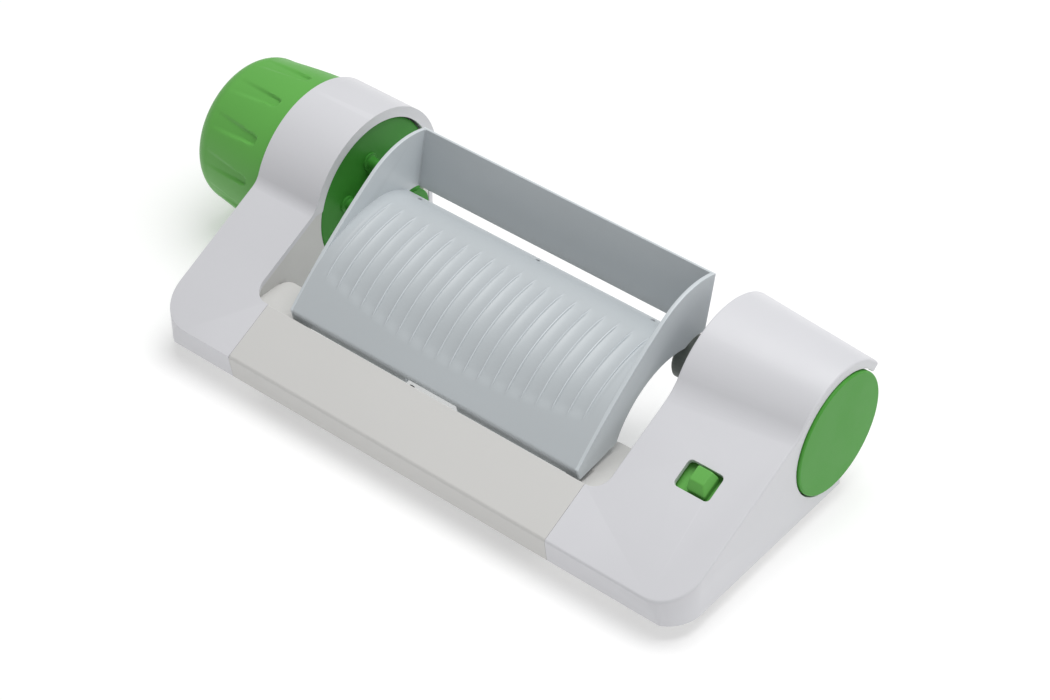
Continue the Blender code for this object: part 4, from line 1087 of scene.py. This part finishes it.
def hinge_lug(low_x):
    """Lug on a ledge that carries the hinge rod from behind, clear of the hood's swing."""
    foot_z = ledge_top_z - past
    points = arc(rod_centre, lug_radius, lug_start, lug_end, 28)
    points += [Vector((lug_foot_y, foot_z)), Vector((lug_foot_y + lug_foot_share * lug_width, foot_z))]
    return prism_x(points, low_x, low_x + lug_width)


def dress_base():
    """Front bar with the floor plates, inner walls, ledges and hinge lugs."""
    left_seam = left_end.station(left_end.width + left_seam_reach) + seam_gap
    right_seam = right_end.station(right_end.width + right_seam_reach) - seam_gap
    bar = prism_x(bar_outline(0, bottom_z), left_seam, right_seam)

    def crest(place, edge):
        length = abs(edge.verts[0].co.x - edge.verts[1].co.x)
        return place.z > bottom_z + 2 * past and length > long_edge
    round_edges(bar, lambda p, e: p.y < bar_front_band and crest(p, e), crest_round, 4)
    round_edges(bar, lambda p, e: p.y > bar_rear_band and crest(p, e), inner_edge_round, 3)
    cut(bar, prism_x(bar_outline(bar_wall, far_below), left_seam - past, right_seam + past))
    swing_radius = (hood_skirt_foot - rod_centre).length + swing_room
    ledge_ends = ((left_end, hood_left_x + ledge_under_hood, left_ledge_rear_y, ledge_corner),
                  (right_end, hood_right_x - ledge_under_hood, right_ledge_rear_y, right_ledge_turn))
    for end, reach_x, rear_y, far_corner in ledge_ends:
        shelf = ledge(end, abs(reach_x - end.station(end.width)), rear_y, far_corner)
        round_edges(shelf, lambda p, e: p.z > ledge_top_z - edge_band, ledge_round, 2)
        cut(shelf, cylinder_x(swing_radius, hood_left_x - swing_side_room, hood_right_x + swing_side_room,
                              rod_centre, 80))
        fuse(bar, base_floor(end), base_wall(end), shelf)
    for low_x in (hood_left_x + lug_inset, hood_right_x - lug_inset - lug_width):
        fuse(bar, hinge_lug(low_x))
    cut(bar, cylinder_x(disc_opening_radius, left_inner_x - disc_room, left_inner_x + well_past, steps=160),
        cylinder_x(head_radius + head_room_base, right_inner_x - well_past, right_inner_x + well_past),
        cylinder_x(rod_radius + touch_gap, hood_left_x, hood_right_x, rod_centre, 32))
    finish_piece(bar, "base_shell", "frame", ["base_frame"], base_grey)


def dress_tailstock():
    """Pull disc with an eased rim."""
    radius = pull_disc_radius
    rim_inner = radius - pull_rim_wall
    inner_x = disc_face_x - pull_face_wall
    rim_end = inner_x - pull_rim_length
    boss_x = disc_face_x - pull_boss_reach
    profile = [(disc_face_x, 0), (disc_face_x, radius - rim_round)]
    profile += eased_rim(disc_face_x, radius, rim_round)
    profile += [(rim_end, radius), (rim_end, rim_inner), (inner_x, rim_inner),
                (inner_x, pull_boss_radius), (boss_x, pull_boss_radius), (boss_x, 0)]
    pull = lathe_x(profile, steps=180)
    finish_piece(pull, "pull_disc", "tailstock", ["tailstock_pull"], pull_green)


def dress_button():
    """Release button: a block with sloped side and front on its slide plate."""
    offset = Vector((button_off_x, button_off_y))
    block = [p + offset for p in rounded_window(button_length, button_depth, button_corner)]
    crown_offset = offset + Vector((-0.5 * button_side_slope, 0.5 * button_front_slope))
    crown = [p + crown_offset for p in rounded_window(button_length - button_side_slope,
                                                      button_depth - button_front_slope, button_corner)]
    button = on_ramp(block, button_root, (block, button_shoulder), (crown, button_height))
    normal = Vector((0, -math.sin(ramp_angle), math.cos(ramp_angle)))
    shoulder = Vector((0, window_centre_y, button_face_z)) + normal * button_shoulder

    def raised(place, edge):
        return (Vector((0, place.y, place.z)) - shoulder).dot(normal) > -button_raised_band
    round_edges(button, raised, button_round, 3, 18)
    plate = [p + Vector((slide_plate_off_x, 0))
             for p in rounded_window(slide_plate_length, slide_plate_depth, slide_plate_corner)]
    join(button, on_ramp(plate, slide_plate_low, (plate, slide_plate_high)))
    finish_piece(button, "button_block", "button", ["release_button"], green)


def dress_plain_nodes():
    """Give the part's own solids that stay their finer materials."""
    groups = ((ground_steel, ("blade",)),
              (drawn_steel, ("hinge_rod", "drive_shaft", "hood_spring", "latch_spring", "shaft_clip",
                             "centre_pin")),
              (foot_rubber, ("hood_stop",)),
              (dark_grey, ("tailstock_head", "latch_pawl")),
              (base_grey, ("tailstock_rod", "tailstock_guide", "latch_bracket", "bearing_bracket")),
              (bush_plastic, ("inner_bush", "outer_bush")))
    finishes = {name: finish for finish, names in groups for name in names}
    for name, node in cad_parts.items():
        finish = finishes.get(name)
        if name.startswith("foot_"):
            finish = foot_rubber
        elif "screw" in name:
            finish = drawn_steel
        if finish and node.data.materials:
            for i in range(len(node.data.materials)):
                node.data.materials[i] = finish


def set_stage():
    """Pale floor and even white surroundings."""
    shape = bmesh.new()
    bmesh.ops.create_grid(shape, x_segments=1, y_segments=1, size=floor_half_size)
    floor = solid(shape)
    floor.name = "studio_floor"
    graph = Graph("floor white")
    tone = graph.band(graph.noise(scale=3.0), low=0.3, high=0.7, start=0.64, end=0.65)
    colour = graph.node("ShaderNodeCombineColor", 0, {0: tone, 1: tone, 2: tone})
    graph.put("Base Color", colour)
    graph.put("Roughness", floor_roughness)
    graph.put("Specular IOR Level", 0.0)
    graph.put("Emission Color", white)
    graph.put("Emission Strength", floor_glow)
    floor.data.materials.append(graph.material)
    world = bpy.data.worlds.new("studio")
    world.use_nodes = True
    world.node_tree.nodes["Background"].inputs["Color"].default_value = white
    world.node_tree.nodes["Background"].inputs["Strength"].default_value = world_strength
    bpy.context.scene.world = world


def area_light(name, place, target, size, power):
    """Soft square light that faces its target."""
    lamp = bpy.data.lights.new(name, "AREA")
    lamp.shape = "SQUARE"
    lamp.size = size
    lamp.energy = power
    item = bpy.data.objects.new(name, lamp)
    item.location = place
    item.rotation_euler = (Vector(target) - Vector(place)).to_track_quat("-Z", "Y").to_euler()
    bpy.context.scene.collection.objects.link(item)


def set_lights():
    """A large soft light above and behind, and a weak one on the right."""
    bpy.context.scene.view_settings.view_transform = "Standard"
    area_light("top_softbox", (0.15, 0.30, 1.45), light_target, size=1.1, power=17.0)
    area_light("right_softbox", (1.35, 0.25, 0.65), light_target, size=0.9, power=1.8)


def set_camera():
    """Camera of the photograph: from the front right, looking down on the part."""
    azimuth = math.radians(39.491)
    tilt = math.radians(41.371)
    roll = math.radians(-0.113)
    level = Vector((-math.sin(azimuth), math.cos(azimuth), 0))
    upright = Vector((0, 0, 1))
    forward = math.cos(tilt) * level - math.sin(tilt) * upright
    side = Vector((math.cos(azimuth), math.sin(azimuth), 0))
    up = math.sin(tilt) * level + math.cos(tilt) * upright
    right = math.cos(roll) * side + math.sin(roll) * up
    top = -math.sin(roll) * side + math.cos(roll) * up
    lens = bpy.data.cameras.new("photo_camera")
    lens.sensor_width = sensor_width
    lens.lens = focal_px / photo_width_px * sensor_width
    lens.clip_start = 0.05
    lens.clip_end = 30.0
    camera = bpy.data.objects.new("photo_camera", lens)
    turn = Matrix((right, top, -forward)).transposed().to_4x4()
    camera.matrix_world = Matrix.Translation(camera_place) @ turn
    bpy.context.scene.collection.objects.link(camera)
    bpy.context.scene.camera = camera


dress_left_housing()
dress_right_housing()
dress_base()
dress_knob()
dress_drive_disc()
dress_hood()
dress_tailstock()
dress_button()
dress_plain_nodes()
set_stage()
set_lights()
set_camera()
